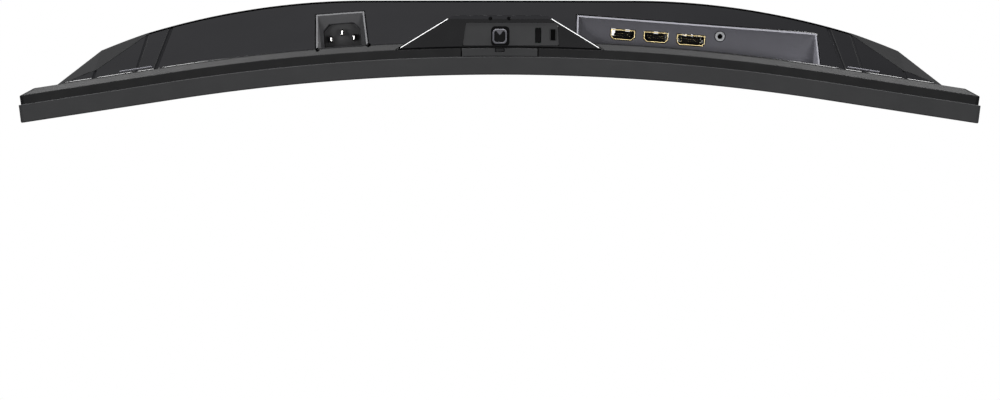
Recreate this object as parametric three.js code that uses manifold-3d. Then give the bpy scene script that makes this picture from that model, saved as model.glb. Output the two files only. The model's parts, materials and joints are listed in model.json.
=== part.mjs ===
// A 27 inch curved computer monitor head, without its stand: bezel, panel stack, backlight,
// rear cover with a glossy lower panel, connector bays, boards and a five-way control stick.
// Millimetres, +Z up, the screen faces -Y, +X is to the right of a person facing the screen.
// The origin is the middle of the rear mount plate's outer face.
import * as THREE from 'three';
import { mergeVertices } from 'three/addons/utils/BufferGeometryUtils.js';
import Module from 'manifold-3d';

const wasm = await Module();
wasm.setup();

// ---------------------------------------------------------------- driving dimensions
const BOTTOM = -176;            // lowest edge of the bezel
const TOP = 190;                // highest edge of the bezel
const HALF_ARC = 306;           // half the bezel's width, measured along its curve
const CURVE_RADIUS = 1350;      // the middle of the front is an arc, its ends are straight
const CURVE_HALF_WIDTH = 205;
const CURVE_STEPS = 16;
const FRONT_Y = -44.9;          // bezel front at the middle
const REAR_Y = 3;               // rear face; the mount plate's face is at 0
const WALL = 2.4;               // rear cover and gloss panel
const GAP = 0.35;               // between touching pieces

const BEZEL_DEPTH = 11.5;
const BEZEL_WALL = 2;
const BEZEL_LIP = 2.8;          // front lip at the top and sides
const CHIN = 18.5;              // front lip at the bottom
const LIP_THICK = 1.5;
const END_X = 305.8;            // the bezel's end faces

const RIM_START = 11.8;         // the rear cover's rim, as depths behind the bezel front
const RIM_CHAMFER = 17.2;
const RIM_END = 20.7;
const RIM_INSET = 1.3;
const RIM_CHAMFER_Z = 3.9;
const RIM_CHAMFER_S = 9.5;

const BAND_BASE = 5.2;          // the sloping bands start this far in from the bottom and top
const BAND_SLOPE = 2.75;        // height gained per millimetre of depth
const BAND_EDGE = 1.9;          // plain strip of the cover under the gloss panel
const PANEL_INSET = 1.3;        // from the rear outline to the gloss panel's edge

const FLAT_HALF = 88;           // half the flat middle of the rear face
const SHOULDER_RADIUS = 475;
const SHOULDER_X = 261.5;
const SHOULDER_STEPS = 8;
const FLANK = new THREE.Vector2(21, -22.4).normalize();

const IO_CEILING = BOTTOM + 61;
const POWER_CEILING = BOTTOM + 67;
const BAY_WALL = 1.4;
const BAY_PLATE = 2.2;          // thickness of a bay's ceiling
const BAY_FRONT = 20.4;         // depth of both bays' front edges
const PLATFORM_Z = BOTTOM + 2.8;
const MODULE_Z = BOTTOM + 3.1;
const STICK = { x: 0, y: -20.6, pivotZ: BOTTOM + 9 };
const MOUNT_PITCH = 100;

// ---------------------------------------------------------------- solids and outlines
const point = (x, y) => new THREE.Vector2(x, y);
const rectangle = (x0, x1, y0, y1) => [point(x0, y0), point(x1, y0), point(x1, y1), point(x0, y1)];

// A three.js geometry as a closed solid.
function solid(geometry) {
  const bare = new THREE.BufferGeometry();
  bare.setAttribute('position', geometry.getAttribute('position'));
  if (geometry.index) bare.setIndex(geometry.index);
  const merged = mergeVertices(bare, 1e-4);
  const kept = [];
  for (let i = 0; i < merged.index.count; i += 3) {
    const [a, b, c] = [0, 1, 2].map((k) => merged.index.getX(i + k));
    if (a !== b && b !== c && c !== a) kept.push(a, b, c);
  }
  return new wasm.Manifold(new wasm.Mesh({
    numProp: 3,
    vertProperties: merged.attributes.position.array,
    triVerts: new Uint32Array(kept),
  }));
}

// A solid back as a flat-shaded three.js geometry.
function geometryOf(made) {
  const { vertProperties, triVerts } = made.getMesh();
  const indexed = new THREE.BufferGeometry();
  indexed.setAttribute('position', new THREE.BufferAttribute(vertProperties, 3));
  indexed.setIndex(new THREE.BufferAttribute(triVerts, 1));
  const flat = indexed.toNonIndexed();
  flat.computeVertexNormals();
  return flat;
}

const join = (...solids) => solids.reduce((all, next) => all.add(next));
const cut = (body, ...tools) => tools.reduce((left, tool) => left.subtract(tool), body);

function prism(outline, z0, z1) {
  const geometry = new THREE.ExtrudeGeometry(new THREE.Shape(outline), {
    depth: z1 - z0, bevelEnabled: false,
  });
  return solid(geometry.translate(0, 0, z0));
}

const box = (x0, x1, y0, y1, z0, z1) => prism(rectangle(x0, x1, y0, y1), z0, z1);

// A rod along one axis, from one end to the other.
function rod(axis, radius, centre, length, sides = 16) {
  const geometry = new THREE.CylinderGeometry(radius, radius, length, sides);
  if (axis === 'x') geometry.rotateZ(Math.PI / 2);
  if (axis === 'z') geometry.rotateX(Math.PI / 2);
  return solid(geometry.translate(...centre));
}

// A round or flat lead that follows a smooth curve.
function lead(points, section, steps) {
  const path = new THREE.CatmullRomCurve3(points.map((p) => new THREE.Vector3(...p)));
  const shape = new THREE.Shape(section);
  return solid(new THREE.ExtrudeGeometry(shape, { steps, extrudePath: path, bevelEnabled: false }));
}

const roundSection = (radius, sides = 8) => Array.from({ length: sides }, (_, i) => point(
  radius * Math.cos((2 * Math.PI * i) / sides), radius * Math.sin((2 * Math.PI * i) / sides)));

// An outline moved inwards on every side, or outwards with a negative amount.
function inset(outline, amount) {
  const ring = THREE.ShapeUtils.isClockWise(outline) ? [...outline].reverse() : outline;
  const inward = (from, to) => point(from.y - to.y, to.x - from.x).normalize();
  return ring.map((here, i) => {
    const before = inward(ring[(i + ring.length - 1) % ring.length], here);
    const after = inward(here, ring[(i + 1) % ring.length]);
    const reach = amount / (1 + before.dot(after));
    return here.clone().addScaledVector(before, reach).addScaledVector(after, reach);
  });
}

// A rectangle with its corners cut off.
function cutRectangle(halfX, halfY, corner) {
  return [point(-halfX + corner, -halfY), point(halfX - corner, -halfY),
    point(halfX, -halfY + corner), point(halfX, halfY - corner),
    point(halfX - corner, halfY), point(-halfX + corner, halfY),
    point(-halfX, halfY - corner), point(-halfX, -halfY + corner)];
}

const shifted = (outline, x, y) => outline.map((p) => point(p.x + x, p.y + y));

// ---------------------------------------------------------------- the curved front
const CURVE_ANGLE = Math.asin(CURVE_HALF_WIDTH / CURVE_RADIUS);
const STATIONS = Array.from({ length: CURVE_STEPS + 1 },
  (_, i) => CURVE_RADIUS * CURVE_ANGLE * (2 * i / CURVE_STEPS - 1));

// The plan position s millimetres along the front's curve and d millimetres behind it.
function bend(s, d) {
  const turn = THREE.MathUtils.clamp(s / CURVE_RADIUS, -CURVE_ANGLE, CURVE_ANGLE);
  const straight = s - turn * CURVE_RADIUS;
  const x = (CURVE_RADIUS + d) * Math.sin(turn) + straight * Math.cos(turn);
  const y = FRONT_Y - CURVE_RADIUS + (CURVE_RADIUS + d) * Math.cos(turn) - straight * Math.sin(turn);
  return point(x, y);
}

const stationsBetween = (from, to) => STATIONS.filter((s) => s > from + 0.5 && s < to - 0.5);

// A bar with a depth-and-height section, running along the curve.
function bentBar(section, from, to) {
  const stops = [from, ...stationsBetween(from, to), to];
  const geometry = new THREE.ExtrudeGeometry(new THREE.Shape(section), {
    depth: stops.length - 1, steps: stops.length - 1, bevelEnabled: false,
  });
  const position = geometry.getAttribute('position');
  for (let i = 0; i < position.count; i++) {
    const place = bend(stops[Math.round(position.getZ(i))], position.getX(i));
    position.setXYZ(i, place.x, place.y, position.getY(i));
  }
  return solid(geometry);
}

const bentBlock = (half, d0, d1, z0, z1) => bentBar(rectangle(d0, d1, z0, z1), -half, half);

// An outline given along the curve, as plan positions with the curve's stations added.
function bentOutline(corners) {
  return corners.flatMap((here, i) => {
    const next = corners[(i + 1) % corners.length];
    const [low, high] = [Math.min(here.x, next.x), Math.max(here.x, next.x)];
    const between = stationsBetween(low, high);
    if (next.x < here.x) between.reverse();
    const depthAt = (s) => here.y + (next.y - here.y) * (s - here.x) / (next.x - here.x);
    return [bend(here.x, here.y), ...between.map((s) => bend(s, depthAt(s)))];
  });
}

// ---------------------------------------------------------------- the rear housing's shape
const bandZ = (d, offset = 0) => BAND_BASE + BAND_SLOPE * (d - RIM_END)
  + offset * Math.hypot(1, BAND_SLOPE);

// The rim: a shallow tray with chamfered edges, moved inwards by a wall.
function rimBlock(wall) {
  const half = HALF_ARC - RIM_INSET - wall;
  const start = RIM_START - (wall ? 1 : 0);
  const end = RIM_END - wall;
  const turnD = RIM_CHAMFER - wall * 0.4;
  const plan = bentOutline([point(-half, start), point(half, start), point(half, turnD),
    point(half - RIM_CHAMFER_S, end), point(-half + RIM_CHAMFER_S, end), point(-half, turnD)]);
  const low = BOTTOM + RIM_INSET + wall;
  const high = TOP - RIM_INSET - wall;
  const section = [point(start, low), point(turnD, low), point(end, low + RIM_CHAMFER_Z),
    point(end, high - RIM_CHAMFER_Z), point(turnD, high), point(start, high)];
  return prism(plan, low, high).intersect(bentBar(section, -half, half));
}

// The bulge's outline in plan: flat middle, round shoulders, straight flanks.
function bulgePlan(wall) {
  const sweep = Math.asin((SHOULDER_X - FLAT_HALF) / SHOULDER_RADIUS);
  const right = Array.from({ length: SHOULDER_STEPS + 1 }, (_, i) => {
    const turn = sweep * i / SHOULDER_STEPS;
    return point(FLAT_HALF + SHOULDER_RADIUS * Math.sin(turn),
      REAR_Y - SHOULDER_RADIUS * (1 - Math.cos(turn)));
  });
  const flankEnd = right[SHOULDER_STEPS].clone().addScaledVector(FLANK, 40);
  right.push(flankEnd, point(flankEnd.x, -130));
  const left = right.map((p) => point(-p.x, p.y)).reverse();
  return inset([...left, ...right], wall);
}

// The side facets: each plane passes three points of the bulge, given as x, y and height above
// the bottom edge.
const FLANK_FOOT = [282.5, -52, BAND_BASE];
const FACET_KNEE = [259, -42, 21.2];
const FACET_CREST = [230, -19.1, 70];
const FLANK_HEAD = [SHOULDER_X, -29.9, 100];
const FACETS = [[FACET_KNEE, FACET_CREST, FLANK_HEAD], [FLANK_FOOT, FACET_KNEE, FLANK_HEAD]];

const corner3 = ([x, y, height], side, upper = false) => new THREE.Vector3(side * x, y,
  upper ? TOP - height : BOTTOM + height);

// Everything outside the plane that holds a line and a second direction, moved inwards by a wall.
function beyondPlane(from, to, second, wall, side) {
  const along = to.clone().sub(from).normalize();
  const out = along.clone().cross(second).normalize();
  if (out.x * side < 0) out.negate();
  const across = out.clone().cross(along);
  const size = 600;
  const geometry = new THREE.BoxGeometry(size, size, size)
    .applyMatrix4(new THREE.Matrix4().makeBasis(along, across, out));
  const centre = from.clone().addScaledVector(out, size / 2 - wall);
  return solid(geometry.translate(centre.x, centre.y, centre.z));
}

// The two facets of a corner meet in a valley, so only what lies outside both planes is cut off.
function facetTools(wall) {
  const corner = (side, upper) => FACETS.map((points) => {
    const [a, b, c] = points.map((p) => corner3(p, side, upper));
    return beyondPlane(a, b, c.sub(a), wall, side);
  }).reduce((first, second) => first.intersect(second));
  return [1, -1].flatMap((side) => [false, true].map((upper) => corner(side, upper)));
}

// The whole housing, moved inwards by a wall.
function housing(wall) {
  const start = RIM_END - 2.2 - wall;
  const far = 60;
  const foot = RIM_END - wall;
  const low = bandZ(foot, wall);
  const section = [point(start, BOTTOM + low), point(foot, BOTTOM + low),
    point(far, BOTTOM + bandZ(far, wall)), point(far, TOP - bandZ(far, wall)),
    point(foot, TOP - low), point(start, TOP - low)];
  const bulge = prism(bulgePlan(wall), BOTTOM, TOP)
    .intersect(bentBar(section, -HALF_ARC, HALF_ARC));
  return join(rimBlock(wall), cut(bulge, ...facetTools(wall)));
}

// The part of the lower band that the gloss panel fills, grown by a gap.
function panelZone(grow) {
  const onBand = (along, out) => {
    const length = Math.hypot(1, BAND_SLOPE);
    return point(RIM_END + (along + BAND_SLOPE * out) / length,
      BOTTOM + BAND_BASE + (BAND_SLOPE * along - out) / length);
  };
  const start = BAND_EDGE - grow;
  const section = [onBand(start, 4), onBand(110, 4), onBand(110, -WALL - 1 - grow),
    onBand(start, -WALL - 1 - grow)];
  const strip = bentBar(section, -HALF_ARC, HALF_ARC)
    .intersect(prism(bulgePlan(PANEL_INSET - grow), BOTTOM, TOP));
  return cut(strip, ...panelEnds(PANEL_INSET - grow));
}

// What lies beyond the gloss panel's ends: outside both walls that stand on the band's creases.
function panelEnds(amount) {
  return [1, -1].map((side) => {
    const bandNormal = new THREE.Vector3(side * BAND_SLOPE * Math.sin(CURVE_ANGLE),
      BAND_SLOPE * Math.cos(CURVE_ANGLE), -1);
    return [[FACET_KNEE, FACET_CREST], [FLANK_FOOT, FACET_KNEE]].map(([from, to]) => (
      beyondPlane(corner3(from, side), corner3(to, side), bandNormal, amount, side)
    )).reduce((first, second) => first.intersect(second));
  });
}

// ---------------------------------------------------------------- sites on the underside
// A turned frame for a connector bay; its functions take positions in the bay's own plan.
function site(x, y, degrees) {
  const angle = THREE.MathUtils.degToRad(degrees);
  const place = (u, v) => point(u, v).rotateAround(point(0, 0), angle).add(point(x, y));
  const outline = (points) => points.map((p) => place(p.x, p.y));
  return {
    place,
    outline,
    block: (u0, u1, v0, v1, z0, z1) => prism(outline(rectangle(u0, u1, v0, v1)), z0, z1),
    prism: (points, z0, z1) => prism(outline(points), z0, z1),
  };
}

const IO = {
  at: site(-127, -23.5, 4.3), plan: rectangle(-76.8, 76.8, -10.8, 9.9), ceiling: IO_CEILING,
};
const POWER = {
  at: site(101, -16.6, -4.6), ceiling: POWER_CEILING,
  plan: [point(-15.3, -11), point(15.7, -11), point(16.3, 10.8), point(-12.7, 10.8)],
};
const POWER_NOTCHES = [[15.9, -11.2], [-16.7, -10.9]];
const INLET = { u: 1.5, v: -3, halfU: 12, halfV: 7.5, corner: 4.2 };
const PORTS = [
  { name: 'video_port_1', u: 47.5, v: 0.6, half: 7.85, tall: 3.3, corner: 2 },
  { name: 'video_port_2', u: 26, v: 0.6, half: 7.85, tall: 3.3, corner: 2 },
  { name: 'wide_video_port', u: 3.2, v: 0.4, half: 9.1, tall: 3.4, corner: 1.7 },
];
const JACK = { u: -15.4, v: 4.3, ring: 3.2, bore: 1.6 };

// A bay's plan, grown on every side, from its front edge backwards.
function bayBlock(bay, grow, frontDepth, z0, z1) {
  return bay.at.prism(inset(bay.plan, -grow), z0, z1)
    .intersect(bentBlock(HALF_ARC, frontDepth, 70, BOTTOM - 20, TOP));
}

const bayHole = (bay) => bayBlock(bay, BAY_WALL + GAP, BAY_FRONT, BOTTOM - 10,
  bay.ceiling + BAY_PLATE + GAP);

function bayTray(bay) {
  const outer = bayBlock(bay, BAY_WALL, BAY_FRONT + GAP, BOTTOM,
    bay.ceiling + BAY_PLATE);
  const room = bayBlock(bay, 0, BAY_FRONT + GAP + 1.2, BOTTOM - 10, bay.ceiling);
  return cut(outer.intersect(housing(0.4)), room);
}

// Two small openings through the shell at the power bay's front corners.
const powerNotches = () => POWER_NOTCHES.map(([u, v]) => {
  const [x, y] = POWER.at.place(u, v).toArray();
  return rod('z', 1.3, [x, y, BOTTOM + 8], 20, 12);
});

// The inlet's mouth: a rectangle whose two rear corners are cut off.
function inletOutline(grow) {
  const { u, v, halfU, halfV, corner } = INLET;
  const [x, y, c] = [halfU + grow, halfV + grow, corner + grow * 0.6];
  return shifted([point(-x, -y), point(x, -y), point(x, y - c), point(x - c, y),
    point(-x + c, y), point(-x, y - c)], u, v);
}

// A socket's shell outline: its two front corners are cut off.
function portOutline(port, grow) {
  const [x, y, c] = [port.half + grow, port.tall + grow, port.corner + grow * 0.6];
  return shifted([point(-x, y), point(-x, -y + c), point(-x + c, -y), point(x - c, -y),
    point(x, -y + c), point(x, y)], port.u, port.v);
}

const PLATFORM_HALF = 64;       // half the platform's curved front edge
const PLATFORM_FRONT = 17.8;    // that edge's depth behind the bezel front
const PLATFORM_SEAM = 0.8;      // the open seam before it
const MODULE = [point(-37.6, -26.3), point(23.6, -26.3), point(21.5, -11.9), point(-36.8, -11.9)];
const STRIP_HALF = 23.75;
const STRIP_DEPTHS = [11.9, 16.8];
const LENS_HALF = 3;
const LENS_FRONT = 14.4;
const SERVICE_SLOT = rectangle(-26.4, -22.5, -24.8, -15);
const LOCK_SLOT = rectangle(-36.1, -31.7, -23.4, -15.7);
const PLATFORM_SCREWS = [5.9, -5.9];
const PLATFORM_SCREW_Y = -9.2;

// A trapezoid whose front edge follows the front's curve.
function platformOutline() {
  const front = [-PLATFORM_HALF, ...stationsBetween(-PLATFORM_HALF, PLATFORM_HALF), PLATFORM_HALF];
  return [...front.map((s) => bend(s, PLATFORM_FRONT)), point(29.9, -7.3), point(-29.9, -7.3)];
}

function platformHole() {
  const seam = bentBlock(PLATFORM_HALF, PLATFORM_FRONT - PLATFORM_SEAM, PLATFORM_FRONT + 0.4,
    BOTTOM - 10, BOTTOM + 90);
  return join(prism(inset(platformOutline(), -GAP), BOTTOM - 10, BOTTOM + 90), seam);
}

// ---------------------------------------------------------------- front and panel stack
// The bezel's end faces run straight back instead of square to the curve.
function frontBezel() {
  const outer = bentBlock(HALF_ARC + 1, 0, BEZEL_DEPTH, BOTTOM, TOP)
    .intersect(box(-END_X, END_X, -100, 0, BOTTOM - 1, TOP + 1));
  const window = bentBlock(HALF_ARC - BEZEL_LIP, -2, LIP_THICK + 1, BOTTOM + CHIN, TOP - BEZEL_LIP);
  const pocket = bentBlock(HALF_ARC - BEZEL_WALL, LIP_THICK, BEZEL_DEPTH + 2,
    BOTTOM + BEZEL_WALL, TOP - BEZEL_WALL);
  return cut(outer, window, pocket);
}

const lcdPanel = () => bentBlock(HALF_ARC - 2.4, 1.8, 3.6, BOTTOM + 14.5, TOP - 2.4);

function midFrame() {
  const outer = bentBlock(HALF_ARC - 2.4, 4, 10.4, BOTTOM + 11.5, TOP - 2.4);
  return cut(outer, bentBlock(HALF_ARC - 5.2, 3, 12, BOTTOM + 15, TOP - 4.6));
}

const diffuserStack = () => bentBlock(HALF_ARC - 5.6, 4.4, 6, BOTTOM + 19, TOP - 5);
const lightGuide = () => bentBlock(HALF_ARC - 5.6, 6.4, 9.4, BOTTOM + 19, TOP - 5);
const reflectorSheet = () => bentBlock(HALF_ARC - 5.6, 9.8, 10.3, BOTTOM + 15.4, TOP - 5);
const ledBar = () => bentBlock(HALF_ARC - 7, 6.4, 9.4, BOTTOM + 15.4, BOTTOM + 18.6);

function backlightChassis() {
  const outer = bentBlock(HALF_ARC - 4.5, 10.8, 15.4, BOTTOM + 11.5, TOP - 4.6);
  return cut(outer, bentBlock(HALF_ARC - 5.7, 9, 14.2, BOTTOM + 12.7, TOP - 5.8));
}

// ---------------------------------------------------------------- covers
function ventSlots() {
  return Array.from({ length: 29 }, (_, i) => {
    const x = (i - 14) * 10;
    return box(x - 1.6, x + 1.6, -46, 12, TOP - 62, TOP - 26);
  });
}

function rearCover() {
  const shell = housing(0).subtract(housing(WALL));
  const strip = bentBlock(STRIP_HALF + GAP, STRIP_DEPTHS[0] - 2, STRIP_DEPTHS[1] + 2,
    BOTTOM - 2, BOTTOM + 5);
  const mountWindow = box(-64, 64, -5, 12, -64, 64);
  return cut(shell, panelZone(GAP), bayHole(IO), bayHole(POWER), platformHole(), strip,
    mountWindow, ...powerNotches(), ...ventSlots());
}

function lowerGlossPanel() {
  const skin = housing(0).subtract(housing(WALL)).intersect(panelZone(0));
  return cut(skin, bayHole(IO), bayHole(POWER), platformHole(), ...powerNotches());
}

function indicatorStrip() {
  const bar = bentBlock(STRIP_HALF, ...STRIP_DEPTHS, BOTTOM + RIM_INSET, BOTTOM + RIM_INSET + WALL);
  return cut(bar, bentBlock(LENS_HALF, LENS_FRONT, 20, BOTTOM, BOTTOM + 5));
}

const statusLight = () => bentBlock(LENS_HALF - 0.3, LENS_FRONT + 0.3, STRIP_DEPTHS[1],
  BOTTOM + RIM_INSET + 0.5, BOTTOM + RIM_INSET + WALL);

// ---------------------------------------------------------------- control platform
function joystickPlatform() {
  const outer = prism(platformOutline(), PLATFORM_Z, IO_CEILING + BAY_PLATE);
  const behindBoards = bentBlock(80, 10, 19.4, PLATFORM_Z + 2, BOTTOM + 90);
  const room = prism([point(-70, -40), point(70, -40), point(60, -25.8), point(33, -13),
    point(-36.5, -13), point(-60, -25.8)], PLATFORM_Z + 2, BOTTOM + 80);
  const backBevel = new THREE.Shape([point(-7.2, PLATFORM_Z - 1), point(-9.5, PLATFORM_Z - 1),
    point(-9.5, PLATFORM_Z), point(-7.2, PLATFORM_Z + 4)]);
  const bevelGeometry = new THREE.ExtrudeGeometry(backBevel, { depth: 160, bevelEnabled: false })
    .translate(0, 0, -80);
  const order = new THREE.Matrix4().set(0, 0, 1, 0, 1, 0, 0, 0, 0, 1, 0, 0, 0, 0, 0, 1);
  const holes = PLATFORM_SCREWS.map((x) => rod('z', 1.3, [x, PLATFORM_SCREW_Y, PLATFORM_Z], 14, 12));
  return cut(outer, room, behindBoards, solid(bevelGeometry.applyMatrix4(order)), ...holes,
    prism(inset(MODULE, -0.3), BOTTOM - 5, PLATFORM_Z + 4));
}

const platformScrew = (x) => rod('z', 0.95, [x, PLATFORM_SCREW_Y, PLATFORM_Z + 5], 3, 8);

function modulePlate() {
  const stickHole = shifted(cutRectangle(5.85, 6.35, 1.8), STICK.x - 0.4, STICK.y + 0.15);
  return cut(prism(MODULE, MODULE_Z, MODULE_Z + 2),
    ...[stickHole, SERVICE_SLOT, LOCK_SLOT].map((hole) => prism(hole, BOTTOM, BOTTOM + 10)));
}

const servicePortCover = () => prism(inset(SERVICE_SLOT, 0.3), MODULE_Z + 0.5, MODULE_Z + 2);

function securityBracket() {
  const plate = box(-39, -28, -24.6, -14.6, MODULE_Z + 2.4, MODULE_Z + 3.4);
  return cut(plate, box(-35.4, -32.4, -23.1, -16, BOTTOM, BOTTOM + 10));
}

const keyBoard = () => box(-34, 21, -25.4, -13.4, BOTTOM + 12.6, BOTTOM + 13.8);

// The five-way control: a fixed box, a gimbal ring that rocks about X in it, a carrier that
// rocks about Y in the ring, and the cap whose stem slides up the carrier's bore.
const STICK_BOX = 5.8;
const STICK_ROOM = 4.5;
const RING_OUT = 4.1;
const RING_IN = 3.1;
const CARRIER = 2.6;
const STEM = 1.2;
const PIN_RADIUS = 0.6;

function stickBlock(half, z0, z1) {
  return box(STICK.x - half, STICK.x + half, STICK.y - half, STICK.y + half, z0, z1);
}

const stickPin = (axis, reach, radius) => rod(axis, radius, [STICK.x, STICK.y, STICK.pivotZ],
  2 * reach, 12);

function joystickBase() {
  const outer = stickBlock(STICK_BOX, BOTTOM + 5.8, BOTTOM + 12.2);
  return cut(outer, stickBlock(STICK_ROOM, BOTTOM, BOTTOM + 20), stickPin('x', 9, PIN_RADIUS + 0.15));
}

function joystickGimbal() {
  const ring = stickBlock(RING_OUT, STICK.pivotZ - 1, STICK.pivotZ + 1);
  const pins = stickPin('x', STICK_BOX - 0.5, PIN_RADIUS);
  return cut(join(ring, pins), stickBlock(RING_IN, BOTTOM, BOTTOM + 20),
    stickPin('y', 9, PIN_RADIUS + 0.15));
}

function joystickRocker() {
  const carrier = stickBlock(CARRIER, STICK.pivotZ - 2, STICK.pivotZ + 2);
  const pins = stickPin('y', RING_OUT - 0.4, PIN_RADIUS);
  return cut(join(carrier, pins), stickBlock(STEM + 0.2, BOTTOM, BOTTOM + 20));
}

function joystickCap() {
  const [low, high] = [BOTTOM + 0.6, BOTTOM + 3.6];
  const knob = prism(shifted(cutRectangle(4.6, 4.8, 1.5), STICK.x, STICK.y), low, high);
  const dish = prism(shifted(cutRectangle(3.6, 3.8, 1.2), STICK.x, STICK.y), low - 1, low + 0.9);
  return join(cut(knob, dish), stickBlock(STEM, high - 0.5, BOTTOM + 11.6));
}

// ---------------------------------------------------------------- connectors
function ioBay() {
  const holes = PORTS.map((port) => IO.at.prism(portOutline(port, GAP), BOTTOM, IO_CEILING + 10));
  const [x, y] = IO.at.place(JACK.u, JACK.v).toArray();
  return cut(bayTray(IO), platformHole(), ...holes, rod('z', JACK.ring + GAP, [x, y, IO_CEILING], 12));
}

function powerBay() {
  return cut(bayTray(POWER), ...powerNotches(),
    POWER.at.prism(inletOutline(0.2), POWER_CEILING - 0.2, POWER_CEILING + 10));
}

const INLET_FACE = POWER_CEILING + BAY_PLATE + GAP;
const INLET_HEIGHT = 20;
const PINS = [
  { name: 'power_pin_line', u: 7.4, v: -2.1 },
  { name: 'power_pin_neutral', u: -7.4, v: -2.1 },
  { name: 'power_pin_earth', u: 0, v: 1.7 },
];

function powerInlet() {
  const body = POWER.at.prism(inletOutline(1.5), INLET_FACE, INLET_FACE + INLET_HEIGHT);
  return cut(body, POWER.at.prism(inletOutline(0), BOTTOM, INLET_FACE + INLET_HEIGHT - 3));
}

function powerPin({ u, v }) {
  const [cu, cv] = [INLET.u + u, INLET.v + v];
  return POWER.at.block(cu - 1, cu + 1, cv - 2, cv + 2, POWER_CEILING + 1.5,
    INLET_FACE + INLET_HEIGHT - 3 - GAP);
}

function portShell(port) {
  const outer = IO.at.prism(portOutline(port, 0), IO_CEILING - 0.3, IO_CEILING + 12);
  return cut(outer, IO.at.prism(portOutline(port, -0.6), BOTTOM, IO_CEILING + 20));
}

function portTongue(port) {
  const { u, v, half, tall } = port;
  const tongue = IO.at.block(u - half + 2.4, u + half - 2.4, v - 0.7, v + 0.7,
    IO_CEILING + 1, IO_CEILING + 10);
  const root = IO.at.block(u - half + 3, u + half - 3, v - tall + 0.95, v + tall - 0.95,
    IO_CEILING + 8.5, IO_CEILING + 11.6);
  return join(tongue, root);
}

function lathed(profile, x, y) {
  const geometry = new THREE.LatheGeometry(profile, 20).rotateX(Math.PI / 2);
  return solid(geometry.translate(x, y, 0));
}

function jackRing() {
  const [x, y] = IO.at.place(JACK.u, JACK.v).toArray();
  const [low, high] = [IO_CEILING - 0.5, IO_CEILING + 1.6];
  return lathed([point(JACK.bore, low), point(JACK.ring, low), point(JACK.ring, high),
    point(JACK.bore, high), point(JACK.bore, low)], x, y);
}

function jackBody() {
  const { u, v, bore } = JACK;
  const [x, y] = IO.at.place(u, v).toArray();
  const body = IO.at.block(u - 4.5, u + 4.5, v - 3.6, v + 3.6,
    IO_CEILING + BAY_PLATE + GAP, IO_CEILING + 14);
  return cut(body, rod('z', bore, [x, y, IO_CEILING], 24));
}

// ---------------------------------------------------------------- mount
const corners = (half) => [[1, 1], [-1, 1], [-1, -1], [1, -1]].map(([a, b]) => [a * half, b * half]);
const MOUNT_SCREW = 57;

function mountPlate() {
  const outline = cutRectangle(70, 70, 4);
  const geometry = new THREE.ExtrudeGeometry(new THREE.Shape(outline), {
    depth: 1.6, bevelEnabled: false,
  }).rotateX(Math.PI / 2);
  const holes = corners(MOUNT_PITCH / 2).map(([x, z]) => rod('y', 2.3, [x, 0, z], 8));
  const screwHoles = corners(MOUNT_SCREW).map(([x, z]) => rod('y', 1.9, [x, 0, z], 8, 12));
  return cut(solid(geometry), ...holes, ...screwHoles);
}

function mountInsert([x, z]) {
  const tube = rod('y', 4, [x, -7, z], 10, 12);
  return cut(tube, rod('y', 1.7, [x, -7, z], 14, 12));
}

function mountScrew([x, z]) {
  const screw = join(rod('y', 3.4, [x, 1.3, z], 1.8, 12), rod('y', 1.5, [x, -4, z], 9, 8));
  return cut(screw, box(x - 2, x + 2, 1.5, 4, z - 0.5, z + 0.5),
    box(x - 0.5, x + 0.5, 1.5, 4, z - 2, z + 2));
}

// ---------------------------------------------------------------- boards and wiring
function boardChassis() {
  const plate = bentBlock(215, 16.4, 18.8, -110, 118);
  return cut(plate, bentBlock(213.8, 17.4, 24, -108.8, 116.8));
}

const BOARD_V = -4.9;
const mainBoard = () => IO.at.block(-70, 70, BOARD_V, BOARD_V + 1.6, IO_CEILING + 3.4, -26);
const processorChip = () => IO.at.block(-12, 16, BOARD_V + 1.9, BOARD_V + 3.6, -92, -64);

function heatSink() {
  const v = BOARD_V + 3.9;
  const base = IO.at.block(-15, 19, v, v + 2, -95, -61);
  const fins = Array.from({ length: 7 }, (_, i) => {
    const u = -15 + i * 5.4;
    return IO.at.block(u, u + 1.6, v + 1, v + 8, -95, -61);
  });
  return join(base, ...fins);
}

const POWER_BOARD_Y = -25.4;
const powerBoard = () => box(62, 205, POWER_BOARD_Y - 1.6, POWER_BOARD_Y, -84, 20);

function transformer() {
  const y = POWER_BOARD_Y + GAP;
  return join(box(98, 130, y + 4, y + 13, -52, -20), box(103, 125, y, y + 17, -48, -24));
}

const mainsCapacitor = () => rod('z', 8.6, [152, POWER_BOARD_Y + 9, -40], 34, 16);

function mainsChoke() {
  const y = POWER_BOARD_Y + GAP;
  return cut(box(74, 90, y, y + 15, -80, -58), box(78, 86, y - 1, y + 18, -75, -63));
}

const tconBoard = () => bentBar(rectangle(16.4, 17.6, BOTTOM + 16, BOTTOM + 46), -110, 110);

function tconCover() {
  const outer = bentBar(rectangle(15.8, 18.8, BOTTOM + 14.6, BOTTOM + 47.4), -112, 112);
  return cut(outer, bentBar(rectangle(15, 18.1, BOTTOM + 15.4, BOTTOM + 46.6), -111.2, 111.2));
}

function panelRibbon() {
  const section = [point(19.2, -144), point(19.6, -144), point(19.6, -107), point(21.4, -103),
    point(21.4, -100), point(21, -100), point(21, -102.8), point(19.2, -106.8)];
  return bentBar(section, -104, -76);
}

// A point for a lead, given along the curve.
function curvePoint(s, d, z) {
  const { x, y } = bend(s, d);
  return [x, y, z];
}

const ledCable = () => lead([curvePoint(221, 17.2, -158), curvePoint(221, 18, -120),
  curvePoint(221, 20, -80), curvePoint(216, 28, -60), [211, POWER_BOARD_Y + 1, -55],
  [200, POWER_BOARD_Y + 3, -50]],
roundSection(1.1), 14);

const keyCable = () => lead([[14, -19, BOTTOM + 15.2], [14, -17, BOTTOM + 24], [0, -16, -138],
  [-28, -19, -121], [-44, -20, -112], [-53, -21, -106]], roundSection(1.1), 18);

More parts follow.
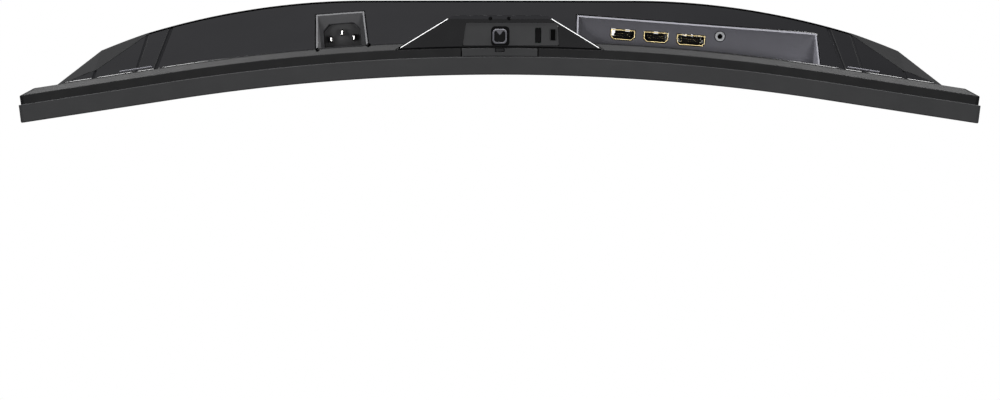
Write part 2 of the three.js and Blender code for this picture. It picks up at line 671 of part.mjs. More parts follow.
function inletWires() {
  const top = INLET_FACE + INLET_HEIGHT + GAP;
  return lead([[101, -18, top], [101, -17.5, top + 7], [99, -19, top + 16],
    [97, POWER_BOARD_Y + 3, top + 26]], roundSection(2.2), 10);
}

// ---------------------------------------------------------------- materials and assembly
const finish = (color, roughness, metalness) => new THREE.MeshStandardMaterial({
  color, roughness, metalness,
});
const matteBlack = finish(0x37383a, 0.62, 0);
const coverBlack = finish(0x2c2d2e, 0.6, 0);
const glossBlack = finish(0x1c1d1e, 0.18, 0);
const bayGrey = finish(0x5a5c60, 0.5, 0);
const glass = finish(0x0b0c0e, 0.25, 0);
const steel = finish(0x9a9c9e, 0.4, 0.9);
const darkSteel = finish(0x3c3d40, 0.5, 0.8);
const gold = finish(0xb89a55, 0.35, 0.9);
const socketBlack = finish(0x17181a, 0.55, 0);
const whitePlastic = finish(0xd8dadb, 0.45, 0);
const boardGreen = finish(0x1f4a33, 0.5, 0);
const clearPlastic = finish(0xd9dee2, 0.2, 0);
const aluminium = finish(0xb4b6b8, 0.35, 0.9);
const cableBlack = finish(0x222325, 0.6, 0);

const pieces = [
  ['front_bezel', frontBezel(), matteBlack],
  ['lcd_panel', lcdPanel(), glass],
  ['mid_frame', midFrame(), socketBlack],
  ['diffuser_stack', diffuserStack(), whitePlastic],
  ['light_guide', lightGuide(), clearPlastic],
  ['reflector_sheet', reflectorSheet(), whitePlastic],
  ['led_bar', ledBar(), aluminium],
  ['backlight_chassis', backlightChassis(), steel],
  ['rear_cover', rearCover(), coverBlack],
  ['lower_gloss_panel', lowerGlossPanel(), glossBlack],
  ['indicator_strip', indicatorStrip(), matteBlack],
  ['status_light_lens', statusLight(), clearPlastic],
  ['joystick_platform', joystickPlatform(), glossBlack],
  ['module_plate', modulePlate(), matteBlack],
  ['service_port_cover', servicePortCover(), socketBlack],
  ['security_slot_bracket', securityBracket(), darkSteel],
  ['key_board', keyBoard(), boardGreen],
  ['joystick_switch_base', joystickBase(), socketBlack],
  ['joystick_gimbal', joystickGimbal(), steel],
  ['joystick_rocker', joystickRocker(), socketBlack],
  ['joystick_cap', joystickCap(), matteBlack],
  ['io_bay', ioBay(), bayGrey],
  ['power_bay', powerBay(), bayGrey],
  ['power_inlet_body', powerInlet(), socketBlack],
  ...PINS.map((pin) => [pin.name, powerPin(pin), steel]),
  ...PORTS.flatMap((port) => [
    [`${port.name}_shell`, portShell(port), gold],
    [`${port.name}_tongue`, portTongue(port), socketBlack],
  ]),
  ['audio_jack_ring', jackRing(), whitePlastic],
  ['audio_jack_body', jackBody(), socketBlack],
  ['mount_plate', mountPlate(), darkSteel],
  ...corners(MOUNT_PITCH / 2).map((at, i) => [`mount_insert_${i + 1}`, mountInsert(at), steel]),
  ...corners(MOUNT_SCREW).map((at, i) => [`mount_screw_${i + 1}`, mountScrew(at), darkSteel]),
  ...PLATFORM_SCREWS.map((x, i) => [`platform_screw_${i + 1}`, platformScrew(x), darkSteel]),
  ['board_chassis', boardChassis(), steel],
  ['main_board', mainBoard(), boardGreen],
  ['processor_chip', processorChip(), socketBlack],
  ['heat_sink', heatSink(), aluminium],
  ['power_board', powerBoard(), boardGreen],
  ['transformer', transformer(), coverBlack],
  ['mains_capacitor', mainsCapacitor(), cableBlack],
  ['mains_choke', mainsChoke(), coverBlack],
  ['timing_board', tconBoard(), boardGreen],
  ['timing_board_cover', tconCover(), steel],
  ['panel_ribbon_cable', panelRibbon(), whitePlastic],
  ['led_cable', ledCable(), cableBlack],
  ['key_board_cable', keyCable(), cableBlack],
  ['inlet_wires', inletWires(), cableBlack],
];

const monitor = new THREE.Group();
monitor.name = 'computer_monitor';
for (const [name, made, material] of pieces) {
  const mesh = new THREE.Mesh(geometryOf(made), material);
  mesh.name = name;
  monitor.add(mesh);
}

export default monitor;
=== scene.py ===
"""Looks of a 27 inch curved monitor head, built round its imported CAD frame.

Shapes are made in millimetres in the frame's own axes (+Z up, the screen faces -Y) and scaled to
metres as each piece is finished. "Along" is the distance along the front's curve from the middle,
and "depth" the distance behind the bezel's front.
"""
import json
import math
import bpy
import bmesh
from mathutils import Matrix, Vector


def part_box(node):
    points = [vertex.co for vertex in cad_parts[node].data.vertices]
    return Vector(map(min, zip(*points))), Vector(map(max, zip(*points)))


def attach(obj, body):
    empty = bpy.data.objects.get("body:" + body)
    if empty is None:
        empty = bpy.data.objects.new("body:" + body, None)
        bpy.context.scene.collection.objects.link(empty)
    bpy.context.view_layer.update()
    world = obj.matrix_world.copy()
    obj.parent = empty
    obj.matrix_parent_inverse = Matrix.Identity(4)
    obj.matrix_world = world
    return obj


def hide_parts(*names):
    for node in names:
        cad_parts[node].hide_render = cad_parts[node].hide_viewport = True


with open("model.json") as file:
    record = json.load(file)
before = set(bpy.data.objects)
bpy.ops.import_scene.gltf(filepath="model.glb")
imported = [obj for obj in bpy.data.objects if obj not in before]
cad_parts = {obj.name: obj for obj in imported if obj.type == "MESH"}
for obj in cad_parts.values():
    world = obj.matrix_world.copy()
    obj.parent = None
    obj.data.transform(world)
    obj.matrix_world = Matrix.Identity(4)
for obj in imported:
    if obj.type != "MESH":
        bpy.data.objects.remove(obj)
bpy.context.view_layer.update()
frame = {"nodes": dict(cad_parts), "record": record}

MM = 0.001


def low_of(node):
    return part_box(node)[0] / MM


def high_of(node):
    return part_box(node)[1] / MM


def middle_of(node):
    return (low_of(node) + high_of(node)) / 2


# ---------------------------------------------------------------- driving sizes
BOTTOM = low_of("front_bezel").z
TOP = high_of("front_bezel").z
HALF_ARC = 306.0
CURVE_RADIUS = 1350.0
CURVE_ANGLE = math.asin(205.0 / CURVE_RADIUS)
FRONT_Y = -44.9
REAR_Y = high_of("rear_cover").y
WALL = 2.4
STATION_PITCH = 6.0
FLAT_STEPS = 100
ARC_STEPS = 5

BEZEL_DEPTH = 11.5
BEZEL_WALL = 2.0
BEZEL_LIP = 2.8
BEZEL_CORNER = 2.4
BEZEL_EDGE = 0.9
END_LEAN = 0.3
CHIN = 18.5
LIP_THICK = 1.5
LCD_EDGE = 2.4

RIM_START = 11.15
RIM_CHAMFER = 17.2
RIM_END = 20.7
RIM_INSET = 1.3
RIM_CHAMFER_Z = 3.9
RIM_CHAMFER_S = 9.5
RIM_CORNER = 2.6

BAND_BASE = 5.2
BAND_SLOPE = 2.75
BAND_EDGE = 1.9
PANEL_INSET = 1.3
SEAM = 0.6
REAR_SEAM = 0.95

FLAT_HALF = 88.0
SHOULDER_RADIUS = 475.0
SHOULDER_X = 261.5
SHOULDER_STEPS = 36
FLANK = Vector((21.0, -22.4)).normalized()
FLANK_FOOT = (282.5, -52.0, BAND_BASE)
FACET_KNEE = (259.0, -42.0, 21.2)
FACET_CREST = (230.0, -19.1, 70.0)
FLANK_HEAD = (SHOULDER_X, -29.9, 100.0)
FACETS = ((FACET_KNEE, FACET_CREST, FLANK_HEAD), (FLANK_FOOT, FACET_KNEE, FLANK_HEAD))

BAY_WALL = 1.4
BAY_PLATE = 2.2
BAY_FRONT = 20.4
GAP = 0.35


# ---------------------------------------------------------------- meshes in millimetres
def new_solid(name, points, faces):
    mesh = bpy.data.meshes.new(name)
    mesh.from_pydata([tuple(p) for p in points], [], faces)
    solid = bpy.data.objects.new(name, mesh)
    bpy.context.scene.collection.objects.link(solid)
    face_outwards(mesh)
    return solid


def face_outwards(mesh):
    work = bmesh.new()
    work.from_mesh(mesh)
    bmesh.ops.recalc_face_normals(work, faces=work.faces)
    if work.calc_volume(signed=True) < 0:
        bmesh.ops.reverse_faces(work, faces=work.faces)
    work.to_mesh(mesh)
    work.free()


def settle(solid):
    """Applies a solid's modifiers to its mesh."""
    graph = bpy.context.evaluated_depsgraph_get()
    made = bpy.data.meshes.new_from_object(solid.evaluated_get(graph))
    old = solid.data
    solid.modifiers.clear()
    solid.data = made
    bpy.data.meshes.remove(old)
    return solid


def combine(operation, body, tools):
    for tool in tools:
        modifier = body.modifiers.new("combine", "BOOLEAN")
        modifier.operation = operation
        modifier.solver = "MANIFOLD"
        modifier.object = tool
        settle(body)
        bpy.data.objects.remove(tool)
    return body


def cut(body, *tools):
    return combine("DIFFERENCE", body, tools)


def join(body, *tools):
    return combine("UNION", body, tools)


def common(body, *tools):
    return combine("INTERSECT", body, tools)


def loft(name, rings, closed=False):
    """Quads between rings of equal length; open ends are capped with flat polygons."""
    count = len(rings[0])
    points = [p for ring in rings for p in ring]
    faces = []
    pairs = len(rings) if closed else len(rings) - 1
    for r in range(pairs):
        here, there = r * count, (r + 1) % len(rings) * count
        for i in range(count):
            j = (i + 1) % count
            faces.append((here + i, here + j, there + j, there + i))
    if not closed:
        faces.append(tuple(range(count)))
        faces.append(tuple(range(len(points) - count, len(points))))
    return new_solid(name, points, faces)


def prism(outline, z0, z1):
    """An outline in X and Y, as a solid from z0 to z1."""
    return loft("prism", [[(x, y, z) for x, y in outline] for z in (z0, z1)])


def upright(outline, y0, y1):
    """An outline in X and Z, as a solid from y0 to y1."""
    return loft("plate", [[(x, y, z) for x, z in outline] for y in (y0, y1)])


def rectangle(x0, x1, y0, y1):
    return [(x0, y0), (x1, y0), (x1, y1), (x0, y1)]


def box(x0, x1, y0, y1, z0, z1):
    return prism(rectangle(x0, x1, y0, y1), z0, z1)


def rounded(outline, radius, steps=5):
    """A convex outline with every corner turned into an arc."""
    made = []
    for i, corner in enumerate(outline):
        here = Vector(corner)
        before = (Vector(outline[i - 1]) - here).normalized()
        after = (Vector(outline[(i + 1) % len(outline)]) - here).normalized()
        half = before.angle(after) / 2
        centre = here + (before + after).normalized() * radius / math.sin(half)
        start = here + before * radius / math.tan(half) - centre
        turn = start.angle_signed(here + after * radius / math.tan(half) - centre)
        for k in range(steps + 1):
            angle = -turn * k / steps
            spin = Matrix.Rotation(angle, 2)
            made.append(tuple(centre + spin @ start))
    return made


def circle(x, y, radius, sides=32):
    return [(x + radius * math.cos(2 * math.pi * i / sides),
             y + radius * math.sin(2 * math.pi * i / sides)) for i in range(sides)]


# ---------------------------------------------------------------- the curved front
def bend(along, depth):
    turn = max(-CURVE_ANGLE, min(CURVE_ANGLE, along / CURVE_RADIUS))
    straight = along - turn * CURVE_RADIUS
    x = (CURVE_RADIUS + depth) * math.sin(turn) + straight * math.cos(turn)
    y = (FRONT_Y - CURVE_RADIUS + (CURVE_RADIUS + depth) * math.cos(turn)
         - straight * math.sin(turn))
    return x, y


def stations(start, end, count=None):
    count = count or max(1, round((end - start) / STATION_PITCH))
    return [start + (end - start) * i / count for i in range(count + 1)]


def bent_bar(section, start, end):
    """A bar with a depth-and-height section, running along the curve."""
    rings = []
    for along in stations(start, end):
        rings.append([(*bend(along, depth), z) for depth, z in section])
    return loft("bar", rings)


def bent_block(half, d0, d1, z0, z1):
    return bent_bar(rectangle(d0, d1, z0, z1), -half, half)


def frame_ring(sides, low, high, depth, radius):
    """A rounded rectangle on the curve: moved in from the bezel's outline at its sides, bottom and top."""
    s1 = HALF_ARC - sides + END_LEAN * max(0, 1 - depth / BEZEL_DEPTH)
    z0, z1 = BOTTOM + low, TOP - high
    flat = stations(-s1 + radius, s1 - radius, FLAT_STEPS)

    def corner(cs, cz, quarter):
        turns = [math.pi / 2 * (quarter + k / ARC_STEPS) for k in range(1, ARC_STEPS + 1)]
        return [(cs + radius * math.cos(t), cz + radius * math.sin(t)) for t in turns]

    ring = [(s, z0) for s in flat]
    ring += corner(s1 - radius, z0 + radius, -1)
    ring += [(s1, z1 - radius)] + corner(s1 - radius, z1 - radius, 0)[:-1]
    ring += [(s, z1) for s in reversed(flat)]
    ring += corner(-s1 + radius, z1 - radius, 1)
    ring += [(-s1, z0 + radius)] + corner(-s1 + radius, z0 + radius, 2)[:-1]
    return [(*bend(s, depth), z) for s, z in ring]


def capped_frame(name, rings):
    """A loft of frame rings, closed front and back by strips that follow the curve."""
    count = len(rings[0])
    points = [p for ring in rings for p in ring]
    faces = []
    for r in range(len(rings) - 1):
        for i in range(count):
            j = (i + 1) % count
            faces.append((r * count + i, r * count + j, (r + 1) * count + j, (r + 1) * count + i))
    flats = FLAT_STEPS + 1
    upper = count // 2
    for base in (0, (len(rings) - 1) * count):
        for i in range(FLAT_STEPS):
            top = base + upper + FLAT_STEPS - i
            faces.append((base + i, base + i + 1, top - 1, top))
        faces.append(tuple(base + i for i in range(flats - 1, upper + 1)))
        faces.append(tuple([base + i for i in range(upper + flats - 1, count)] + [base]))
    return new_solid(name, points, faces)


def inset(outline, amount):
    """An outline moved inwards on every side, or outwards with a negative amount."""
    pairs = list(zip(outline, outline[1:] + outline[:1]))
    area = sum(a[0] * b[1] - b[0] * a[1] for a, b in pairs)
    ring = [Vector(p) for p in (outline if area > 0 else outline[::-1])]
    made = []
    for i, here in enumerate(ring):
        before, after = here - ring[i - 1], ring[(i + 1) % len(ring)] - here
        first = Vector((-before.y, before.x)).normalized()
        second = Vector((-after.y, after.x)).normalized()
        made.append(tuple(here + (first + second) * amount / (1 + first.dot(second))))
    return made


# ---------------------------------------------------------------- the rear housing's shape
def band_z(depth, offset=0.0):
    return BAND_BASE + BAND_SLOPE * (depth - RIM_END) + offset * math.hypot(1, BAND_SLOPE)


def rim_tray(wall):
    """The chamfered front tray of the rear cover, moved in by a wall."""
    radius = max(RIM_CORNER - wall, 0.4)
    edge = RIM_INSET + wall
    start, turn, end = RIM_START - (1 if wall else 0), RIM_CHAMFER - wall * 0.4, RIM_END - wall
    side, up = edge + RIM_CHAMFER_S, edge + RIM_CHAMFER_Z
    rings = [frame_ring(edge, edge, edge, start, radius), frame_ring(edge, edge, edge, turn, radius),
             frame_ring(side, up, up, end, radius)]
    return capped_frame("rim", rings)


def bulge_plan(wall):
    """The bulge's outline in plan: flat middle, round shoulders, straight flanks."""
    sweep = math.asin((SHOULDER_X - FLAT_HALF) / SHOULDER_RADIUS)
    right = []
    for i in range(SHOULDER_STEPS + 1):
        turn = sweep * i / SHOULDER_STEPS
        right.append((FLAT_HALF + SHOULDER_RADIUS * math.sin(turn),
                      REAR_Y - SHOULDER_RADIUS * (1 - math.cos(turn))))
    end = Vector(right[-1]) + FLANK * 40
    right += [tuple(end), (end.x, -130.0)]
    left = [(-x, y) for x, y in reversed(right)]
    return inset(left + right, wall)


def corner_point(corner, side, upper=False):
    x, y, up = corner
    return Vector((side * x, y, TOP - up if upper else BOTTOM + up))


def beyond_plane(start, end, second, wall, side):
    """Everything outside the plane that holds a line and a second direction, moved in by a wall."""
    along = (end - start).normalized()
    out = along.cross(second).normalized()
    if out.x * side < 0:
        out.negate()
    turn = Matrix((along, out.cross(along), out)).transposed().to_4x4()
    block = box(-300, 300, -300, 300, 0, 300)
    block.data.transform(Matrix.Translation(start - out * wall) @ turn)
    return block


def facet_tools(wall):
    """The two facets of a corner meet in a valley: only what is outside both planes is cut off."""
    tools = []
    for side in (1, -1):
        for upper in (False, True):
            pair = []
            for corners in FACETS:
                a, b, c = [corner_point(corner, side, upper) for corner in corners]
                pair.append(beyond_plane(a, b, c - a, wall, side))
            tools.append(common(*pair))
    return tools


def panel_ends(amount):
    """What lies outside both walls that stand on the band's creases at each end."""
    tools = []
    for side in (1, -1):
        normal = Vector((side * BAND_SLOPE * math.sin(CURVE_ANGLE),
                         BAND_SLOPE * math.cos(CURVE_ANGLE), -1))
        pair = [beyond_plane(corner_point(a, side), corner_point(b, side), normal, amount, side)
                for a, b in ((FACET_KNEE, FACET_CREST), (FLANK_FOOT, FACET_KNEE))]
        tools.append(common(*pair))
    return tools


def housing(wall):
    start, far, foot = RIM_END - 2.2 - wall, 60.0, RIM_END - wall
    low = band_z(foot, wall)
    section = [(start, BOTTOM + low), (foot, BOTTOM + low), (far, BOTTOM + band_z(far, wall)),
               (far, TOP - band_z(far, wall)), (foot, TOP - low), (start, TOP - low)]
    bulge = common(prism(bulge_plan(wall), BOTTOM, TOP), bent_bar(section, -HALF_ARC, HALF_ARC))
    return join(rim_tray(wall), cut(bulge, *facet_tools(wall)))


def on_band(along, out):
    """A depth-and-height point on the lower band: along it upwards, and out of its surface."""
    length = math.hypot(1, BAND_SLOPE)
    return (RIM_END + (along + BAND_SLOPE * out) / length,
            BOTTOM + BAND_BASE + (BAND_SLOPE * along - out) / length)


def panel_zone(grow, rear_grow=None):
    """The part of the lower band that the gloss panel fills, grown by a gap."""
    rear_grow = grow if rear_grow is None else rear_grow
    start, end, under = BAND_EDGE - grow, 110, -WALL - 1 - grow
    section = [on_band(start, 4), on_band(end, 4), on_band(end, under), on_band(start, under)]
    strip = common(bent_bar(section, -HALF_ARC, HALF_ARC),
                   prism(bulge_plan(PANEL_INSET - rear_grow), BOTTOM, TOP))
    return cut(strip, *panel_ends(PANEL_INSET - grow))


# ---------------------------------------------------------------- sites on the underside
class Bay:
    """A connector bay: a turned plan frame with a ceiling."""

    def __init__(self, x, y, degrees, plan, ceiling):
        self.origin, self.turn = Vector((x, y)), Matrix.Rotation(math.radians(degrees), 2)
        self.plan, self.ceiling = plan, ceiling

    def place(self, u, v):
        return tuple(self.origin + self.turn @ Vector((u, v)))

    def prism(self, outline, z0, z1):
        return prism([self.place(u, v) for u, v in outline], z0, z1)

    def block(self, grow, front_depth, z0, z1):
        depths = bent_block(HALF_ARC, front_depth, 70, BOTTOM - 20, TOP)
        return common(self.prism(inset(self.plan, -grow), z0, z1), depths)

    def hole(self):
        """The hole in the cover: its front edge overlaps the tray's front wall, which ends above it."""
        top = self.ceiling + BAY_PLATE + GAP
        return join(self.block(BAY_WALL + GAP, BAY_FRONT + 1.2, BOTTOM - 10, top),
                    self.block(BAY_WALL + GAP, BAY_FRONT, BOTTOM + 15, top))


IO = Bay(-127, -23.5, 4.3, rectangle(-76.8, 76.8, -10.8, 9.9), high_of("io_bay").z - BAY_PLATE)
POWER = Bay(101, -16.6, -4.6, [(-15.3, -11), (15.7, -11), (16.3, 10.8), (-12.7, 10.8)],
            high_of("power_bay").z - BAY_PLATE)
POWER_NOTCHES = ((15.9, -11.2), (-16.7, -10.9))
INLET = {"u": 1.5, "v": -3.0, "half_u": 12.0, "half_v": 7.5, "corner": 4.2}
PORTS = {
    "video_port_1": {"u": 47.5, "v": 0.6, "half": 7.85, "tall": 3.3, "corner": 2.0},
    "video_port_2": {"u": 26.0, "v": 0.6, "half": 7.85, "tall": 3.3, "corner": 2.0},
    "wide_video_port": {"u": 3.2, "v": 0.4, "half": 9.1, "tall": 3.4, "corner": 1.7},
}
JACK = {"u": -15.4, "v": 4.3, "ring": 3.2, "bore": 1.6}

PLATFORM_HALF = 64.0
PLATFORM_FRONT = 17.8
PLATFORM_SEAM = 0.8
PLATFORM_CHAMFER = 0.38
PLATFORM_Z = BOTTOM + 2.8
MODULE = [(-37.6, -26.3), (23.6, -26.3), (21.5, -11.9), (-36.8, -11.9)]
MODULE_Z = low_of("module_plate").z
STRIP_HALF = 23.75
STRIP_DEPTHS = (11.9, 16.8)
STRIP_TOP = BOTTOM + RIM_INSET + WALL
STICK = middle_of("joystick_cap")
SERVICE_SLOT = rectangle(-26.4, -22.5, -24.8, -15)
LOCK_SLOT = rectangle(-36.1, -31.7, -23.4, -15.7)
PLATFORM_SCREWS = (5.9, -5.9)
PLATFORM_SCREW_Y = -9.2


def power_notches():
    """Two small openings through the shell at the power bay's front corners."""
    return [prism(circle(*POWER.place(u, v), 1.3, 24), BOTTOM - 2, BOTTOM + 18)
            for u, v in POWER_NOTCHES]


def inlet_outline(grow):
    x, y = INLET["half_u"] + grow, INLET["half_v"] + grow
    c = INLET["corner"] + grow * 0.6
    shape = [(-x, -y), (x, -y), (x, y - c), (x - c, y), (-x + c, y), (-x, y - c)]
    return [(INLET["u"] + a, INLET["v"] + b) for a, b in shape]


def port_outline(port, grow):
    x, y, c = port["half"] + grow, port["tall"] + grow, port["corner"] + grow * 0.6
    shape = [(-x, y), (-x, -y + c), (-x + c, -y), (x - c, -y), (x, -y + c), (x, y)]
    return [(port["u"] + a, port["v"] + b) for a, b in shape][::-1]


def platform_outline():
    """A trapezoid whose front edge follows the front's curve."""
    front = [bend(s, PLATFORM_FRONT) for s in stations(-PLATFORM_HALF, PLATFORM_HALF)]
    return front + [(29.9, -7.3), (-29.9, -7.3)]


def platform_hole():
    seam = bent_block(PLATFORM_HALF, PLATFORM_FRONT - PLATFORM_SEAM, PLATFORM_FRONT + 0.4,
                      BOTTOM - 10, BOTTOM + 90)
    return join(prism(inset(platform_outline(), -GAP), BOTTOM - 10, BOTTOM + 90), seam)


# ---------------------------------------------------------------- pieces: front
def section_frame(profile):
    """A closed frame whose section is a list of (sides, low, high, depth, radius)."""
    rings = [frame_ring(*step) for step in profile]
    return loft("frame", rings, closed=True)


def front_bezel():
    """A frame with round outer edges, a long chin and a thin lip in front of the screen."""
    def even(amount, depth, radius):
        return (amount, amount, amount, depth, radius)

    def window(grow, depth):
        return (BEZEL_LIP - grow, CHIN - grow, BEZEL_LIP - grow, depth, 1.0)

    turn = [(BEZEL_EDGE * (1 - math.sin(t)), BEZEL_EDGE * (1 - math.cos(t)))
            for t in (math.pi / 2 * k / 4 for k in range(5))]
    profile = [even(amount, depth, BEZEL_CORNER) for amount, depth in turn]
    profile += [even(0, BEZEL_DEPTH - 0.25, BEZEL_CORNER), even(0.07, BEZEL_DEPTH - 0.07, BEZEL_CORNER),
                even(0.25, BEZEL_DEPTH, 2.2), even(BEZEL_WALL - 0.2, BEZEL_DEPTH, 1.2),
                even(BEZEL_WALL, BEZEL_DEPTH - 0.2, 1.2), even(BEZEL_WALL, LIP_THICK, 1.2),
                window(0, LIP_THICK), window(0, 0.35), window(0.1, 0.1), window(0.35, 0)]
    return section_frame(profile)


def lcd_panel():
    """A curved sheet of glass with softened edges, right behind the bezel's lip."""
    low = low_of("lcd_panel").z - BOTTOM

    def sheet(inward, depth):
        return frame_ring(LCD_EDGE + inward, low + inward, LCD_EDGE + inward, depth, 0.6)

    return capped_frame("lcd", [sheet(0.2, 1.8), sheet(0, 2.0), sheet(0, 3.4), sheet(0.2, 3.6)])


# ---------------------------------------------------------------- pieces: rear shell
VENT_COUNT = 29
VENT_PITCH = 10.0
VENT_WIDTH = 3.2
VENT_BELOW_TOP = (62, 26)
MOUNT_WINDOW_HALF = 64


def vent_slots():
    """Round-ended slots through the rear cover near its top."""
    tools = []
    low, high = [TOP - below for below in VENT_BELOW_TOP]
    for i in range(VENT_COUNT):
        x = (i - (VENT_COUNT - 1) / 2) * VENT_PITCH
        outline = rounded(rectangle(x - VENT_WIDTH / 2, x + VENT_WIDTH / 2, low, high),
                          VENT_WIDTH / 2 - 0.01, 6)
        tools.append(upright(outline, -46, 12))
    return tools


def rear_cover():
    """The shell, opened for the gloss panel, bays, platform, light strip, mount plate and vents."""
    shell = cut(housing(0), housing(WALL))
    strip = bent_block(STRIP_HALF + GAP, STRIP_DEPTHS[0] - 2, STRIP_DEPTHS[1] + 2, BOTTOM - 2,
                       BOTTOM + 5)
    half = MOUNT_WINDOW_HALF
    window = upright(rounded(rectangle(-half, half, -half, half), 5), -5, 12)
    return cut(shell, panel_zone(SEAM, REAR_SEAM), IO.hole(), POWER.hole(), platform_hole(), strip,
               window, *power_notches(), *vent_slots())


def along_of(x, depth):
    """The station on the curve whose point at that depth has the given x."""
    reach = (CURVE_RADIUS + depth) * math.sin(CURVE_ANGLE)
    if abs(x) <= reach:
        return CURVE_RADIUS * math.asin(x / (CURVE_RADIUS + depth))
    side = math.copysign(1, x)
    return side * (CURVE_RADIUS * CURVE_ANGLE + (abs(x) - reach) / math.cos(CURVE_ANGLE))


def band_groove(x_front, x_rear, width, deep):
    """A V-shaped cutter that runs up the lower band from its front edge to its rear edge."""
    rings = []
    for x, along in ((x_front, -2), (x_rear, 100)):
        ring = []
        for across, out in ((-width / 2, 0.02), (0, -deep), (width / 2, 0.02), (0, deep)):
            depth, z = on_band(along, out)
            ring.append((*bend(along_of(x, depth) + across, depth), z))
        rings.append(ring)
    return loft("groove", rings)


def band_ridge(x_front, x_rear, across, width):
    """A thin raised line beside a groove, along the same way up the band."""
    rings = []
    for x, along in ((x_front, -2), (x_rear, 100)):
        ring = []
        for shift, out in ((-width / 2, -0.4), (-width / 2, 0.02), (0, 0.16), (width / 2, 0.02),
                           (width / 2, -0.4)):
            depth, z = on_band(along, out)
            ring.append((*bend(along_of(x, depth) + across + shift, depth), z))
        rings.append(ring)
    return common(loft("ridge", rings), panel_zone(-0.3))


GROOVES = ((219.2, 212.0, 2.5), (231.8, 227.4, 1.6), (258.9, 256.0, 2.0))
RIDGES = ((219.2, 212.0, 1.6), (231.8, 227.4, -1.1))
PRY_LIP = (221.6, 241.9)


def lower_gloss_panel():
    skin = common(cut(housing(0), housing(WALL)), panel_zone(0))
    grooves = [band_groove(side * front, side * rear, width, width * 0.5)
               for front, rear, width in GROOVES for side in (1, -1)]
    return cut(skin, IO.hole(), POWER.hole(), platform_hole(), *power_notches(), *grooves)


def pry_lip(side):
    """The small ledge at the gloss panel's lower edge where it is prised off."""
    section = [on_band(a, o) for a, o in ((5.6, -0.3), (5.6, 0.3), (5.8, 0.5), (6.4, 0.5),
                                          (6.9, 0.1), (6.9, -0.3))]
    ends = sorted(side * along_of(x, RIM_END + 1) for x in PRY_LIP)
    return bent_bar(section, *ends)


def indicator_strip():
    bar = bent_block(STRIP_HALF, *STRIP_DEPTHS, BOTTOM + RIM_INSET, STRIP_TOP)
    return cut(bar, bent_block(3.0, 14.4, 20, BOTTOM, BOTTOM + 5))


def status_light_lens():
    return bent_block(2.7, 14.7, STRIP_DEPTHS[1], BOTTOM + RIM_INSET + 0.5, STRIP_TOP)


# ---------------------------------------------------------------- pieces: control platform
def platform_room():
    """The space inside the platform, open towards the boards in front of it."""
    behind_boards = bent_block(80, 10, 19.4, PLATFORM_Z + 2, BOTTOM + 90)
    room = prism([(-70, -40), (70, -40), (60, -25), (33, -13), (-36.5, -13), (-60, -25)],
                 PLATFORM_Z + 2, BOTTOM + 80)
    return room, behind_boards


def joystick_platform():
    """A low trapezoid with chamfered edges, a sloping rear edge and a recess for the module plate."""
    outline = platform_outline()
    levels = ((PLATFORM_CHAMFER, 0), (0, PLATFORM_CHAMFER),
              (0, high_of("joystick_platform").z - PLATFORM_Z))
    outer = loft("platform", [[(x, y, PLATFORM_Z + up) for x, y in inset(outline, inward)]
                              for inward, up in levels])
    bevel = loft("bevel", [[(x, -7.2, PLATFORM_Z - 1), (x, -9.5, PLATFORM_Z - 1),
                            (x, -9.5, PLATFORM_Z), (x, -7.2, PLATFORM_Z + 4)] for x in (-80, 80)])
    holes = [prism(circle(x, PLATFORM_SCREW_Y, 1.3, 24), PLATFORM_Z - 7, PLATFORM_Z + 7)
             for x in PLATFORM_SCREWS]
    return cut(outer, *platform_room(), bevel, *holes,
               prism(inset(MODULE, -0.12), BOTTOM - 5, PLATFORM_Z + 4))


def seam_floor():
    """A dark shelf inside the cover, so that nothing shines through the platform's front seam."""
    return bent_block(PLATFORM_HALF + 2, 15.2, 19.2, BOTTOM + 6.5, BOTTOM + 7.2)


def strip_shade_backing():
    """A dark sheet behind the lighter strip and its seams, as painted shade."""
    return bent_block(STRIP_HALF + 1.5, 10.8, 17.0, STRIP_TOP + 0.05, STRIP_TOP + 0.6)


def panel_gap_shade():
    """A dark strip behind the gap between the chamfered rim and the gloss panel: painted shade in the gap.
    """
    section = [on_band(-1.5, -2.5), on_band(5, -2.5), on_band(5, -3.2), on_band(-1.5, -3.2)]
    bar = common(bent_bar(section, -HALF_ARC + 12, HALF_ARC - 12), housing(WALL + 0.05))
    return cut(bar, IO.hole(), POWER.hole(), platform_hole())


def stick_shade_plate():
    """A dark plate behind the cap, pierced for its stem: painted shade round the cap."""
    x, y = STICK.x, STICK.y
    plate = box(x - 7.5, x + 7.5, y - 5.2, y + 8, BOTTOM + 4.9, BOTTOM + 5.3)
    return cut(plate, box(x - 2.4, x + 2.4, y - 2.4, y + 2.4, BOTTOM, BOTTOM + 9))


def lock_slot_well():
    """The closed pocket above the lock slot, a dark box that paints shade inside the slot, with a plate
    that carries the slot itself.
    """
    pocket = cut(box(-36.6, -31.2, -24.2, -15, MODULE_Z + 3.45, MODULE_Z + 9),
                 box(-36.1, -31.7, -23.7, -15.5, MODULE_Z, MODULE_Z + 8.4))
    plate = cut(box(-36.6, -31.2, -24.2, -15, MODULE_Z + 2.02, MODULE_Z + 2.38),
                box(-35.3, -32.5, -23.0, -16.1, MODULE_Z, MODULE_Z + 5))
    return pocket, plate


def module_plate():
    """The plate with the stick's hole, the service opening and the lock slot."""
    stick_hole = rounded([(STICK.x + a, STICK.y + b)
                          for a, b in rectangle(-6.25, 5.45, -6.2, 6.5)], 2.6)
    plate = prism(rounded(MODULE, 1.0), MODULE_Z, MODULE_Z + 2)
    holes = [stick_hole, rounded(SERVICE_SLOT, 0.5), rounded(LOCK_SLOT, 0.9)]
    return cut(plate, *[prism(hole, BOTTOM, BOTTOM + 10) for hole in holes])


def service_port_cover():
    return prism(rounded(inset(SERVICE_SLOT, 0.3), 0.3), MODULE_Z + 0.5, MODULE_Z + 2)


